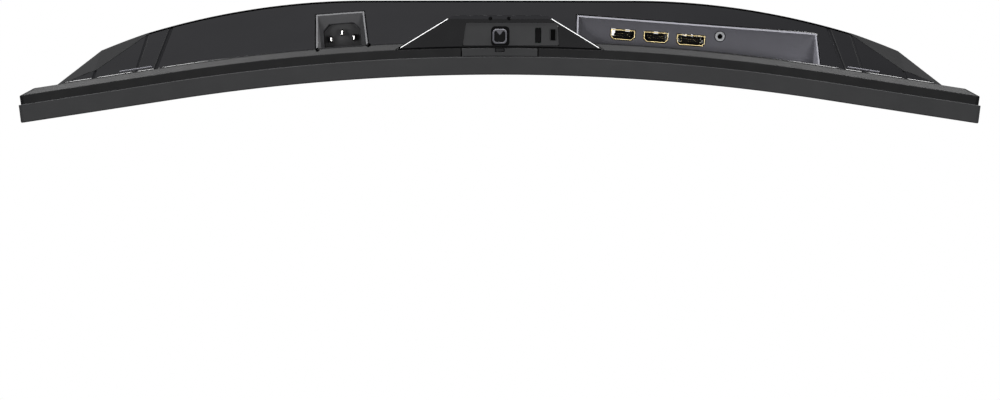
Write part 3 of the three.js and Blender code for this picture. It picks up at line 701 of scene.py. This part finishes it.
# half width in X and Y, corner radius and height above the cap's lowest point, from the dish outwards
CAP_FACE = ((0.6, 0.6, 0.5, 0.95), (2.6, 2.8, 1.2, 0.92), (3.2, 3.4, 1.6, 0.75), (3.5, 3.7, 1.8, 0.35),
            (3.65, 3.85, 1.9, 0.08), (3.85, 4.05, 2.0, 0), (4.15, 4.35, 2.2, 0.03),
            (4.45, 4.65, 2.3, 0.25), (4.6, 4.8, 2.4, 0.75))


def cap_level(half_x, half_y, radius, z):
    outline = rounded([(STICK.x + a, STICK.y + b)
                       for a, b in rectangle(-half_x, half_x, -half_y, half_y)], radius, 8)
    return [(x, y, z) for x, y in outline]


def whole_cap():
    """A rounded cap with a raised rim round a dished face, an arrow at its rear and a square stem."""
    low, high = low_of("joystick_cap").z, BOTTOM + 3.6
    rings = [cap_level(half_x, half_y, radius, low + up) for half_x, half_y, radius, up in CAP_FACE]
    rings += [cap_level(4.6, 4.8, 2.4, high - 0.2), cap_level(4.4, 4.6, 2.2, high),
              cap_level(1.25, 1.25, 0.2, high), cap_level(1.2, 1.2, 0.2, high_of("joystick_cap").z)]
    arrow = [(STICK.x + a, STICK.y + b) for a, b in ((-2.5, 3.8), (0, 0.9), (2.5, 3.8))]
    return join(loft("cap", rings), prism(arrow, low + 0.06, low + 1.2))


def cap_crown_zone():
    """Where the cap's rim and arrow lie, the parts that get a painted highlight."""
    low = low_of("joystick_cap").z
    outer = loft("zone", [cap_level(5, 5.2, 2, z) for z in (low - 1, low + 0.42)])
    inner = loft("zone", [cap_level(3.42, 3.62, 1.7, z) for z in (low - 2, low + 2)])
    arrow = [(STICK.x + a, STICK.y + b) for a, b in ((-2.6, 3.9), (0, 0.7), (2.6, 3.9))]
    return join(cut(outer, inner), prism(arrow, low - 1, low + 0.42))


def joystick_cap():
    return cut(whole_cap(), cap_crown_zone())


def joystick_crown():
    return common(whole_cap(), cap_crown_zone())


# ---------------------------------------------------------------- pieces: connectors
def bay_tray(bay):
    """A thin box, open below, whose front wall stops above the cover's edge."""
    top = bay.ceiling + BAY_PLATE
    outer = common(bay.block(BAY_WALL - 0.3, BAY_FRONT + GAP, BOTTOM, top), housing(0.4))
    lip = bent_block(HALF_ARC, BAY_FRONT - 1, BAY_FRONT + 1.25, BOTTOM - 10, BOTTOM + 15.4)
    return cut(outer, lip, bay.block(0, BAY_FRONT + GAP + 0.8, BOTTOM - 10, bay.ceiling))


def io_bay():
    holes = [IO.prism(port_outline(port, GAP), BOTTOM, IO.ceiling + 10) for port in PORTS.values()]
    x, y = IO.place(JACK["u"], JACK["v"])
    jack = prism(circle(x, y, JACK["ring"] + GAP), BOTTOM, IO.ceiling + 10)
    return cut(bay_tray(IO), platform_hole(), *holes, jack)


def power_bay():
    return cut(bay_tray(POWER), *power_notches(),
               POWER.prism(inlet_outline(0.2), POWER.ceiling - 0.2, POWER.ceiling + 10))


def power_inlet_body():
    face, end = low_of("power_inlet_body").z, high_of("power_inlet_body").z
    body = POWER.prism(inlet_outline(1.5), face, end)
    return cut(body, POWER.prism(inlet_outline(0), BOTTOM, end - 3))


def power_pin(name):
    """A flat blade whose tip is chamfered on all four sides."""
    centre = POWER.turn.transposed() @ (middle_of(name).xy - POWER.origin)
    low, high = low_of(name).z, high_of(name).z

    def level(inward, z):
        ring = rectangle(centre.x - 1 + inward * 0.6, centre.x + 1 - inward * 0.6,
                         centre.y - 2 + inward, centre.y + 2 - inward)
        return [(*POWER.place(*p), z) for p in ring]

    return loft(name, [level(0.7, low), level(0, low + 1.5), level(0, high)])


def port_shell(name):
    port, low, high = PORTS[name], low_of(f"{name}_shell").z, high_of(f"{name}_shell").z
    outer = IO.prism(port_outline(port, 0), low, high)
    return cut(outer, IO.prism(port_outline(port, -0.6), BOTTOM, high + 10))


def port_tongue(name):
    """The contact tongue with its root block."""
    port = PORTS[name]
    u, v, half, tall = port["u"], port["v"], port["half"], port["tall"]
    tongue = IO.prism(rectangle(u - half + 2.4, u + half - 2.4, v - 0.7, v + 0.7),
                      IO.ceiling + 1, IO.ceiling + 10)
    root = IO.prism(rectangle(u - half + 3, u + half - 3, v - tall + 0.95, v + tall - 0.95),
                    IO.ceiling + 8.5, IO.ceiling + 11.6)
    return join(tongue, root)


CONTACT_COUNT = 9
CONTACT_MARGIN = 3.2


def port_contacts(name):
    """The gold contact strips that lie on both sides of a socket's tongue."""
    port = PORTS[name]
    v, reach = port["v"], port["half"] - CONTACT_MARGIN
    work = bmesh.new()
    for side in (1, -1):
        for across in stations(port["u"] - reach, port["u"] + reach, CONTACT_COUNT - 1):
            strip = rectangle(across - 0.2, across + 0.2, v + side * 0.7 - 0.06, v + side * 0.7 + 0.06)
            block = IO.prism(strip, IO.ceiling + 1.5, IO.ceiling + 8.6)
            work.from_mesh(block.data)
            bpy.data.objects.remove(block)
    solid = new_solid(name, [], [])
    work.to_mesh(solid.data)
    work.free()
    return solid


def lathed(name, profile, x, y, sides=48):
    """A closed profile of (radius, height) points turned round a vertical axis."""
    rings = [[(x + r * math.cos(2 * math.pi * i / sides), y + r * math.sin(2 * math.pi * i / sides), z)
              for i in range(sides)] for r, z in profile]
    return loft(name, rings, closed=True)


def audio_jack_ring():
    x, y = middle_of("audio_jack_ring").xy
    low, high = low_of("audio_jack_ring").z, high_of("audio_jack_ring").z
    bore, ring = JACK["bore"], JACK["ring"]
    profile = [(bore, low + 0.35), (bore + 0.2, low + 0.08), (bore + 0.45, low),
               (ring - 0.45, low), (ring - 0.15, low + 0.12), (ring, low + 0.45), (ring, high),
               (bore, high)]
    return lathed("jack_ring", profile, x, y)


# ---------------------------------------------------------------- pieces: mount and screws
HOLE_HALF = 50.0
INSERT_BORE = 2.3
SCREW_BORE = 1.9
PAD_RADIUS = 7.4
PAD_RING = 8.2


def square_corners(half):
    return [(half, half), (-half, half), (-half, -half), (half, -half)]


def mount_plate():
    """A plate with a raised pad round each threaded hole and plain holes for its own screws."""
    low, high = low_of("mount_plate"), high_of("mount_plate")

    def discs(half, radius, y0, y1):
        return [upright(circle(x, z, radius), y0, y1) for x, z in square_corners(half)]

    plate = upright(rounded(rectangle(low.x, high.x, low.z, high.z), 5), low.y, high.y)
    holes = discs(HOLE_HALF, INSERT_BORE, -9, 9)
    holes += discs(middle_of("mount_screw_1").x, SCREW_BORE, -9, 9)
    rings = discs(HOLE_HALF, PAD_RING, high.y - 0.25, 9)
    pads = [cut(pad, bore) for pad, bore in zip(discs(HOLE_HALF, PAD_RADIUS, high.y - 0.6, high.y),
                                                discs(HOLE_HALF, INSERT_BORE, -9, 9))]
    return join(cut(plate, *holes, *rings), *pads)


def turned(name, profile, x, z, sides=32):
    """A closed profile of (radius, y) points turned round a fore-and-aft axis."""
    rings = [[(x + r * math.cos(2 * math.pi * i / sides), y, z + r * math.sin(2 * math.pi * i / sides))
              for i in range(sides)] for r, y in profile]
    return loft(name, rings, closed=True)


def mount_insert(name):
    """An insert whose bore carries an M4 thread's ridges."""
    centre, low, high = middle_of(name), low_of(name).y, high_of(name).y
    crest, root, pitch = 1.7, 1.95, 0.7
    bore = [(crest, high)]
    y = high - 0.3
    while y - pitch > low + 0.3:
        bore += [(root, y), (root, y - pitch * 0.3), (crest, y - pitch * 0.5), (crest, y - pitch * 0.7)]
        y -= pitch
    bore.append((crest, low))
    profile = bore + [(3.8, low), (4.0, low + 0.3), (4.0, high - 0.3), (3.8, high)]
    return turned(name, profile, centre.x, centre.z)


def cross(a, b, reach, half):
    """The two arms of a screw's cross recess, as outlines."""
    return [rectangle(a - reach, a + reach, b - half, b + half),
            rectangle(a - half, a + half, b - reach, b + reach)]


def mount_screw(name):
    """A pan-head screw with a cross recess and a threaded shank."""
    centre, low, high = middle_of(name), low_of(name).y, high_of(name).y
    seat = high - 1.8
    profile = [(0.01, low), (1.2, low), (1.5, low + 0.5)]
    y = low + 0.5
    while y + 0.6 < seat - 0.4:
        profile += [(1.5, y + 0.15), (1.22, y + 0.3), (1.5, y + 0.45)]
        y += 0.6
    profile += [(1.5, seat), (3.2, seat), (3.4, seat + 0.2), (3.4, seat + 0.9), (3.1, seat + 1.35),
                (2.3, seat + 1.68), (1.2, high), (0.01, high)]
    screw = turned(name, profile, centre.x, centre.z)
    return cut(screw, *[upright(arm, high - 1, high + 1) for arm in cross(centre.x, centre.z, 1.9, 0.42)])


def platform_screw(name):
    """A small countersunk screw down its hole, with a cross recess."""
    centre, low, high = middle_of(name), low_of(name).z, high_of(name).z
    profile = [(0.01, low), (0.8, low), (0.95, low + 0.12), (0.95, low + 0.6), (0.7, low + 0.9),
               (0.7, high), (0.01, high)]
    screw = lathed(name, profile, centre.x, centre.y, 24)
    return cut(screw, *[prism(arm, low - 1, low + 0.5) for arm in cross(centre.x, centre.y, 0.6, 0.14)])


# ---------------------------------------------------------------- finishes
NOISE_RANGE = (0.3, 0.7)


def lighter(colour, factor):
    return tuple(min(1.0, c * factor) for c in colour)


def ranged(nodes, links, value, start, end, low, high):
    """A value taken from one range to another."""
    node = nodes.new("ShaderNodeMapRange")
    for socket, number in zip(("From Min", "From Max", "To Min", "To Max"), (start, end, low, high)):
        node.inputs[socket].default_value = number
    links.new(value, node.inputs["Value"])
    return node.outputs["Result"]


class Finish:
    """A node material in the making: a shader whose colour, roughness and relief come from noise."""

    def __init__(self, name, metallic=0.0, specular=0.5):
        self.material = bpy.data.materials.new(name)
        self.material.use_nodes = True
        self.nodes = self.material.node_tree.nodes
        self.links = self.material.node_tree.links
        self.shader = self.nodes["Principled BSDF"]
        self.shader.inputs["Metallic"].default_value = metallic
        self.shader.inputs["Specular IOR Level"].default_value = specular
        self.place = self.nodes.new("ShaderNodeTexCoord").outputs["Object"]

    def noise(self, size_mm, detail=2.0, stretch=(1, 1, 1)):
        mapping = self.nodes.new("ShaderNodeMapping")
        mapping.inputs["Scale"].default_value = stretch
        noise = self.nodes.new("ShaderNodeTexNoise")
        noise.inputs["Scale"].default_value = 1 / (size_mm * MM)
        noise.inputs["Detail"].default_value = detail
        self.links.new(self.place, mapping.inputs["Vector"])
        self.links.new(mapping.outputs["Vector"], noise.inputs["Vector"])
        return noise.outputs["Fac"]

    def blend_colours(self, value, dark, light):
        ramp = self.nodes.new("ShaderNodeValToRGB")
        for stop, position, colour in zip(ramp.color_ramp.elements, NOISE_RANGE, (dark, light)):
            stop.position = position
            stop.color = (*colour, 1)
        self.links.new(value, ramp.inputs["Fac"])
        return ramp.outputs["Color"]

    def colour(self, base, vary, size_mm, detail=3.0, stretch=(1, 1, 1)):
        made = self.blend_colours(self.noise(size_mm, detail, stretch), lighter(base, 1 - vary),
                                  lighter(base, 1 + vary))
        self.links.new(made, self.shader.inputs["Base Color"])
        return self

    def roughness(self, low, high, size_mm, detail=3.0, stretch=(1, 1, 1)):
        noise = self.noise(size_mm, detail, stretch)
        made = ranged(self.nodes, self.links, noise, *NOISE_RANGE, low, high)
        self.links.new(made, self.shader.inputs["Roughness"])
        return self

    def relief(self, height_mm, size_mm, strength=1.0, detail=2.0, stretch=(1, 1, 1)):
        bump = self.nodes.new("ShaderNodeBump")
        bump.inputs["Distance"].default_value = height_mm * MM
        bump.inputs["Strength"].default_value = strength
        self.links.new(self.noise(size_mm, detail, stretch), bump.inputs["Height"])
        before = self.shader.inputs["Normal"].links
        if before:
            self.links.new(before[0].from_socket, bump.inputs["Normal"])
        self.links.new(bump.outputs["Normal"], self.shader.inputs["Normal"])
        return self


def moulded_plastic(name, base, rough=0.55, grain=0.02, specular=0.5):
    """Spark-eroded mould texture: a fine grain, faint flow mottling and uneven sheen."""
    made = Finish(name, specular=specular)
    made.colour(base, 0.06, 60.0).roughness(rough - 0.025, rough + 0.025, 9.0)
    return made.relief(grain, 0.55, 0.6, 3.0).relief(grain * 2, 2.2, 0.15).material


def polished_plastic(name, base, rough=0.1):
    made = Finish(name)
    made.colour(base, 0.06, 60.0).roughness(rough - 0.01, rough + 0.01, 30.0, 2.0)
    return made.relief(0.01, 12.0, 0.2).material


def plain_metal(name, base, rough, grain=0.006):
    made = Finish(name, metallic=1.0)
    made.colour(base, 0.07, 6.0).roughness(rough - 0.08, rough + 0.08, 1.6, 4.0)
    return made.relief(grain, 0.5, 0.4).material


def brushed_metal(name, base, rough, stretch):
    made = Finish(name, metallic=1.0)
    made.colour(base, 0.1, 1.2, 3.0, stretch).roughness(rough - 0.1, rough + 0.1, 0.8, 3.0, stretch)
    return made.relief(0.01, 0.6, 0.35, 2.0, stretch).material


def spangled_steel(name, base):
    """Galvanised sheet: large zinc crystals of slightly different tone and sheen."""
    made = Finish(name, metallic=1.0)
    cells = made.nodes.new("ShaderNodeTexVoronoi")
    cells.inputs["Scale"].default_value = 1 / (7.0 * MM)
    made.links.new(made.place, cells.inputs["Vector"])
    tone = made.blend_colours(cells.outputs["Color"], lighter(base, 0.85), lighter(base, 1.12))
    made.links.new(tone, made.shader.inputs["Base Color"])
    return made.roughness(0.3, 0.48, 3.0).material


def anti_glare_glass(name):
    made = Finish(name)
    made.colour((0.006, 0.0065, 0.008), 0.1, 60.0).roughness(0.2, 0.27, 14.0)
    return made.relief(0.003, 0.25, 0.5).material


def circuit_board(name, base):
    """Solder mask with copper tracks showing through as a slightly lighter pattern."""
    made = Finish(name)
    tracks = made.nodes.new("ShaderNodeTexBrick")
    tracks.inputs["Scale"].default_value = 1 / (16.0 * MM)
    tracks.inputs["Mortar Size"].default_value = 0.06
    tracks.inputs["Color1"].default_value = (*base, 1)
    tracks.inputs["Color2"].default_value = (*lighter(base, 0.8), 1)
    tracks.inputs["Mortar"].default_value = (*lighter(base, 1.7), 1)
    made.links.new(made.place, tracks.inputs["Vector"])
    made.links.new(tracks.outputs["Color"], made.shader.inputs["Base Color"])
    return made.roughness(0.25, 0.4, 4.0).relief(0.01, 1.5, 0.4).material


def clear_plastic(name):
    made = Finish(name)
    made.colour((0.05, 0.052, 0.055), 0.04, 8.0).roughness(0.3, 0.36, 3.0)
    made.shader.inputs["Transmission Weight"].default_value = 0.55
    return made.relief(0.004, 1.0, 0.3).material


FINISHES = {
    "bezel_black": lambda n: moulded_plastic(n, (0.042, 0.0424, 0.044), 0.68),
    "cover_black": lambda n: moulded_plastic(n, (0.010, 0.0101, 0.0106), 0.5, specular=0.18),
    "gloss_black": lambda n: polished_plastic(n, (0.010, 0.010, 0.011)),
    "bay_grey": lambda n: moulded_plastic(n, (0.150, 0.149, 0.168), 0.6, 0.015),
    "module_black": lambda n: moulded_plastic(n, (0.050, 0.0505, 0.052), 0.68),
    "stick_black": lambda n: moulded_plastic(n, (0.006, 0.006, 0.0064), 0.6, 0.012, 0.15),
    "screen_glass": anti_glare_glass,
    "socket_black": lambda n: moulded_plastic(n, (0.005, 0.005, 0.0055), 0.65, 0.01, 0.12),
    "white_plastic": lambda n: moulded_plastic(n, (0.62, 0.63, 0.63), 0.4, 0.01),
    "clear_plastic": clear_plastic,
    "nickel_steel": lambda n: plain_metal(n, (0.74, 0.73, 0.70), 0.24),
    "galvanised_steel": lambda n: spangled_steel(n, (0.55, 0.56, 0.57)),
    "black_steel": lambda n: plain_metal(n, (0.015, 0.015, 0.016), 0.55, 0.015),
    "gold_plate": lambda n: plain_metal(n, (0.50, 0.40, 0.20), 0.32),
    "board_green": lambda n: circuit_board(n, (0.012, 0.065, 0.03)),
    "aluminium": lambda n: brushed_metal(n, (0.7, 0.71, 0.72), 0.34, (0.06, 1, 1)),
    "cable_black": lambda n: moulded_plastic(n, (0.02, 0.02, 0.021), 0.5, 0.012),
}
MATERIALS = {slot: make(slot) for slot, make in FINISHES.items()}
PIECE_FINISHES_AND_PAINTED_LIGHT = {
    # A darker copy of bay grey: painted shade on the power bay.
    "power_bay": moulded_plastic("bay_grey_painted_shade", (0.080, 0.080, 0.084), 0.6, 0.015),
    # A light grey: painted light inside the inlet's deep recess.
    "power_inlet_body": moulded_plastic("inlet_grey_painted_light", (0.115, 0.115, 0.118), 0.6, 0.01),
    "status_light_lens": polished_plastic("lens_smoke", (0.014, 0.014, 0.015)),
}
SLOT_OF = {row["node"]: row["material_slot"] for row in frame["record"]["subparts"]}


# ---------------------------------------------------------------- finished pieces
def add_bevel(piece, width, angle, clamp, segments=2):
    bevel = piece.modifiers.new("edges", "BEVEL")
    bevel.width = width
    bevel.segments = segments
    bevel.limit_method = "ANGLE"
    bevel.angle_limit = math.radians(angle)
    bevel.use_clamp_overlap = clamp
    bevel.miter_outer = "MITER_ARC"


def finish_piece(solid, name, slot, body="head", nodes=(), bevel=0.25, angle=20, smooth=20,
                 clamp=False):
    """Rounds a solid's edges, scales it to metres and puts it in the object."""
    weld = solid.modifiers.new("weld", "WELD")
    weld.merge_threshold = 0.01
    if bevel:
        add_bevel(solid, bevel, angle, clamp)
    settle(solid)
    solid.name = solid.data.name = name
    solid.data.transform(Matrix.Scale(MM, 4))
    solid.data.shade_smooth()
    solid.data.set_sharp_from_angle(angle=math.radians(smooth))
    weights = solid.modifiers.new("weights", "WEIGHTED_NORMAL")
    weights.keep_sharp = True
    solid.data.materials.clear()
    solid.data.materials.append(MATERIALS[slot])
    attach(solid, body)
    if nodes:
        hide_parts(*nodes)
    return solid


def stand_in(node, solid, body="head", bevel=0.25, **more):
    """A finished piece that takes the place and slot of one CAD node."""
    piece = finish_piece(solid, f"{node}_skin", SLOT_OF[node], body, [node], bevel, **more)
    # A few pieces swap their slot's finish, two of them for copies with painted light and shade.
    if node in PIECE_FINISHES_AND_PAINTED_LIGHT:
        piece.data.materials[0] = PIECE_FINISHES_AND_PAINTED_LIGHT[node]
    return piece


def build_front():
    stand_in("front_bezel", front_bezel(), bevel=0)
    stand_in("lcd_panel", lcd_panel(), bevel=0)


def build_rear():
    stand_in("rear_cover", rear_cover(), bevel=0.35, angle=9, smooth=12)
    stand_in("lower_gloss_panel", lower_gloss_panel(), bevel=0.22, angle=9, smooth=12)
    for side, name in ((1, "right"), (-1, "left")):
        # Each pry lip takes the lighter bay grey as a painted highlight along the gloss panel's edge.
        finish_piece(pry_lip(side), f"pry_lip_{name}", "bay_grey", bevel=0)
        for i, (front, rear, across) in enumerate(RIDGES, 1):
            ridge = band_ridge(side * front, side * rear, side * across, 0.6)
            finish_piece(ridge, f"panel_ridge_{name}_{i}", "cover_black", bevel=0)
    stand_in("indicator_strip", indicator_strip(), bevel=0.2)
    stand_in("status_light_lens", status_light_lens(), bevel=0.3)


def build_platform():
    stand_in("joystick_platform", joystick_platform(), bevel=0)
    stand_in("module_plate", module_plate(), bevel=0.25, clamp=True)
    stand_in("service_port_cover", service_port_cover(), bevel=0.15)
    stand_in("joystick_cap", joystick_cap(), "stick", bevel=0)
    # The cap's rim and arrow take the lighter bay grey as a painted highlight.
    finish_piece(joystick_crown(), "joystick_crown", "bay_grey", "stick", bevel=0)
    pocket, plate = lock_slot_well()
    # Dark sheets and the lock slot's pocket in the darkest black: painted shade behind seams, gaps and
    # holes.
    for name, shield, bevel in (("stick_shade_plate", stick_shade_plate(), 0.08), ("lock_slot_pocket", pocket, 0.1),
                                ("platform_seam_floor", seam_floor(), 0.1),
                                ("strip_shade_backing", strip_shade_backing(), 0.1), ("panel_gap_shade", panel_gap_shade(), 0)):
        finish_piece(shield, name, "socket_black", bevel=bevel)
    finish_piece(plate, "lock_slot_plate", "module_black", bevel=0.08)
    for i in (1, 2):
        node = f"platform_screw_{i}"
        stand_in(node, platform_screw(node), bevel=0.05)


def build_connectors():
    stand_in("io_bay", io_bay(), bevel=0.3)
    stand_in("power_bay", power_bay(), bevel=0.3)
    stand_in("power_inlet_body", power_inlet_body(), bevel=0.3)
    for name in ("power_pin_line", "power_pin_neutral", "power_pin_earth"):
        stand_in(name, power_pin(name), bevel=0.15)
    for name in PORTS:
        stand_in(f"{name}_shell", port_shell(name), bevel=0.15)
        stand_in(f"{name}_tongue", port_tongue(name), bevel=0.12)
        finish_piece(port_contacts(name), f"{name}_contacts", "gold_plate", bevel=0)
    stand_in("audio_jack_ring", audio_jack_ring(), bevel=0)


def build_mount():
    stand_in("mount_plate", mount_plate(), bevel=0.2)
    for i in range(1, 5):
        insert, screw = f"mount_insert_{i}", f"mount_screw_{i}"
        stand_in(insert, mount_insert(insert), bevel=0)
        stand_in(screw, mount_screw(screw), bevel=0.08)


def dress_inner_nodes():
    """The nodes that stay as they are get their slot's finish."""
    for name, node in frame["nodes"].items():
        if node.hide_render:
            continue
        node.data.materials.clear()
        node.data.materials.append(MATERIALS[SLOT_OF[name]])


# ---------------------------------------------------------------- camera, stage and light
CAMERA_DISTANCE = 3.0
CAMERA_LENS = 170.0
CAMERA_Y = -0.027
CAMERA_TILT = math.radians(1.8613)
CAMERA_ROLL = math.radians(0.035)


def add_camera():
    """Straight below the object, looking up, with the screen side at the bottom of the picture."""
    data = bpy.data.cameras.new("camera")
    data.lens = CAMERA_LENS
    data.clip_end = 100
    camera = bpy.data.objects.new("camera", data)
    bpy.context.scene.collection.objects.link(camera)
    right = Vector((-1, 0, 0))
    back = Vector((0, math.sin(CAMERA_TILT), -math.cos(CAMERA_TILT)))
    camera.matrix_world = Matrix.Translation((0, CAMERA_Y, BOTTOM * MM - CAMERA_DISTANCE)) @ Matrix(
        (right, back.cross(right), back)).transposed().to_4x4() @ Matrix.Rotation(CAMERA_ROLL, 4, "Z")
    data.shift_x = 0.0004
    bpy.context.scene.camera = camera


FLOOR_HALF = 60.0
FLOOR_Z = -9.5


def add_floor():
    """A large pale floor far below: it shows from above, and doesn't shade the object."""
    mesh = bpy.data.meshes.new("floor")
    corners = rectangle(-FLOOR_HALF, FLOOR_HALF, -FLOOR_HALF, FLOOR_HALF)
    mesh.from_pydata([(x, y, 0) for x, y in corners], [], [(0, 1, 2, 3)])
    floor = bpy.data.objects.new("floor", mesh)
    floor.location.z = FLOOR_Z
    bpy.context.scene.collection.objects.link(floor)
    paint = bpy.data.materials.new("floor_paint")
    paint.use_nodes = True
    shader = paint.node_tree.nodes["Principled BSDF"]
    shader.inputs["Base Color"].default_value = (0.5, 0.5, 0.5, 1)
    shader.inputs["Roughness"].default_value = 1.0
    shader.inputs["Emission Color"].default_value = (1, 1, 1, 1)
    shader.inputs["Emission Strength"].default_value = 0.62
    mesh.materials.append(paint)
    floor.visible_diffuse = floor.visible_glossy = floor.visible_shadow = False


def calculated(nodes, links, operation, first, second):
    node = nodes.new("ShaderNodeMath")
    node.operation = operation
    for socket, value in zip(node.inputs, (first, second)):
        if isinstance(value, (int, float)):
            socket.default_value = value
        else:
            links.new(value, socket)
    return node.outputs["Value"]


SKY_LEVELS = ((0.0, 0.31), (0.12, 0.26), (0.44, 0.16), (0.52, 0.10), (0.90, 0.10), (0.96, 0.33),
              (1.0, 0.33))


def sky_brightness(nodes, links, z):
    """Grey levels from the nadir to the zenith."""
    height = nodes.new("ShaderNodeValToRGB")
    stops = height.color_ramp.elements
    for i, (position, level) in enumerate(SKY_LEVELS):
        stop = stops[i] if i == 0 else stops[-1] if position == 1.0 else stops.new(position)
        stop.position = position
        stop.color = (level, level, level * 1.02, 1)
    links.new(ranged(nodes, links, z, -1, 1, 0, 1), height.inputs["Fac"])
    return height.outputs["Color"]


def sky_shading(nodes, links, x, z):
    """Darkens the upper part of the sky at both sides, and low down on the left."""
    edges = ranged(nodes, links, calculated(nodes, links, "ABSOLUTE", x, 0), 0.21, 0.27, 1, 0.12)
    left = ranged(nodes, links, x, -0.2, 0.02, 0.3, 1)
    high = ranged(nodes, links, z, 0.84, 0.92, 0, 1)
    side = calculated(nodes, links, "MAXIMUM", left, high)
    upper = ranged(nodes, links, z, 0.3, 0.4, 0, 1)
    darker = calculated(nodes, links, "MULTIPLY", side, edges)
    lower = calculated(nodes, links, "SUBTRACT", 1, upper)
    return calculated(nodes, links, "ADD", lower, calculated(nodes, links, "MULTIPLY", upper, darker))


def add_world():
    """White behind the object; bright light from below, dim from above, dark at both sides."""
    world = bpy.data.worlds.new("studio")
    bpy.context.scene.world = world
    world.use_nodes = True
    nodes, links = world.node_tree.nodes, world.node_tree.links
    nodes.clear()
    axes = nodes.new("ShaderNodeSeparateXYZ")
    links.new(nodes.new("ShaderNodeTexCoord").outputs["Generated"], axes.inputs["Vector"])
    x, z = axes.outputs["X"], axes.outputs["Z"]
    soft = nodes.new("ShaderNodeBackground")
    links.new(sky_brightness(nodes, links, z), soft.inputs["Color"])
    links.new(sky_shading(nodes, links, x, z), soft.inputs["Strength"])
    white = nodes.new("ShaderNodeBackground")
    white.inputs["Color"].default_value = (1, 1, 1, 1)
    mix = nodes.new("ShaderNodeMixShader")
    links.new(nodes.new("ShaderNodeLightPath").outputs["Is Camera Ray"], mix.inputs["Fac"])
    links.new(soft.outputs["Background"], mix.inputs[1])
    links.new(white.outputs["Background"], mix.inputs[2])
    out = nodes.new("ShaderNodeOutputWorld")
    links.new(mix.outputs["Shader"], out.inputs["Surface"])


def add_softbox(name, place, aim, width, height, power):
    data = bpy.data.lights.new(name, "AREA")
    data.shape = "RECTANGLE"
    data.size, data.size_y, data.energy = width, height, power
    light = bpy.data.objects.new(name, data)
    bpy.context.scene.collection.objects.link(light)
    light.location = place
    light.rotation_euler = (Vector(aim) - Vector(place)).to_track_quat("-Z", "Y").to_euler()
    light.visible_camera = False
    return light


def add_lights():
    """Two lamps below light the bays, two behind graze the edges and one lights the screen side."""
    centre = (0, -0.03, -0.1)
    for side, name in ((1, "right"), (-1, "left")):
        add_softbox(f"below_{name}", (side * 0.6, -0.03, -3.3), centre, 0.3, 0.3, 12.5)
        add_softbox(f"rear_{name}", (side * 1.6, 3.3, -0.2), centre, 1.5, 1.2, 190)
    add_softbox("front_top", (0.8, -3.0, 3.2), centre, 2.4, 2.4, 90)


add_camera()
add_world()
add_floor()
add_lights()
bpy.context.scene.view_settings.view_transform = "Standard"
build_front()
build_rear()
build_platform()
build_connectors()
build_mount()
dress_inner_nodes()
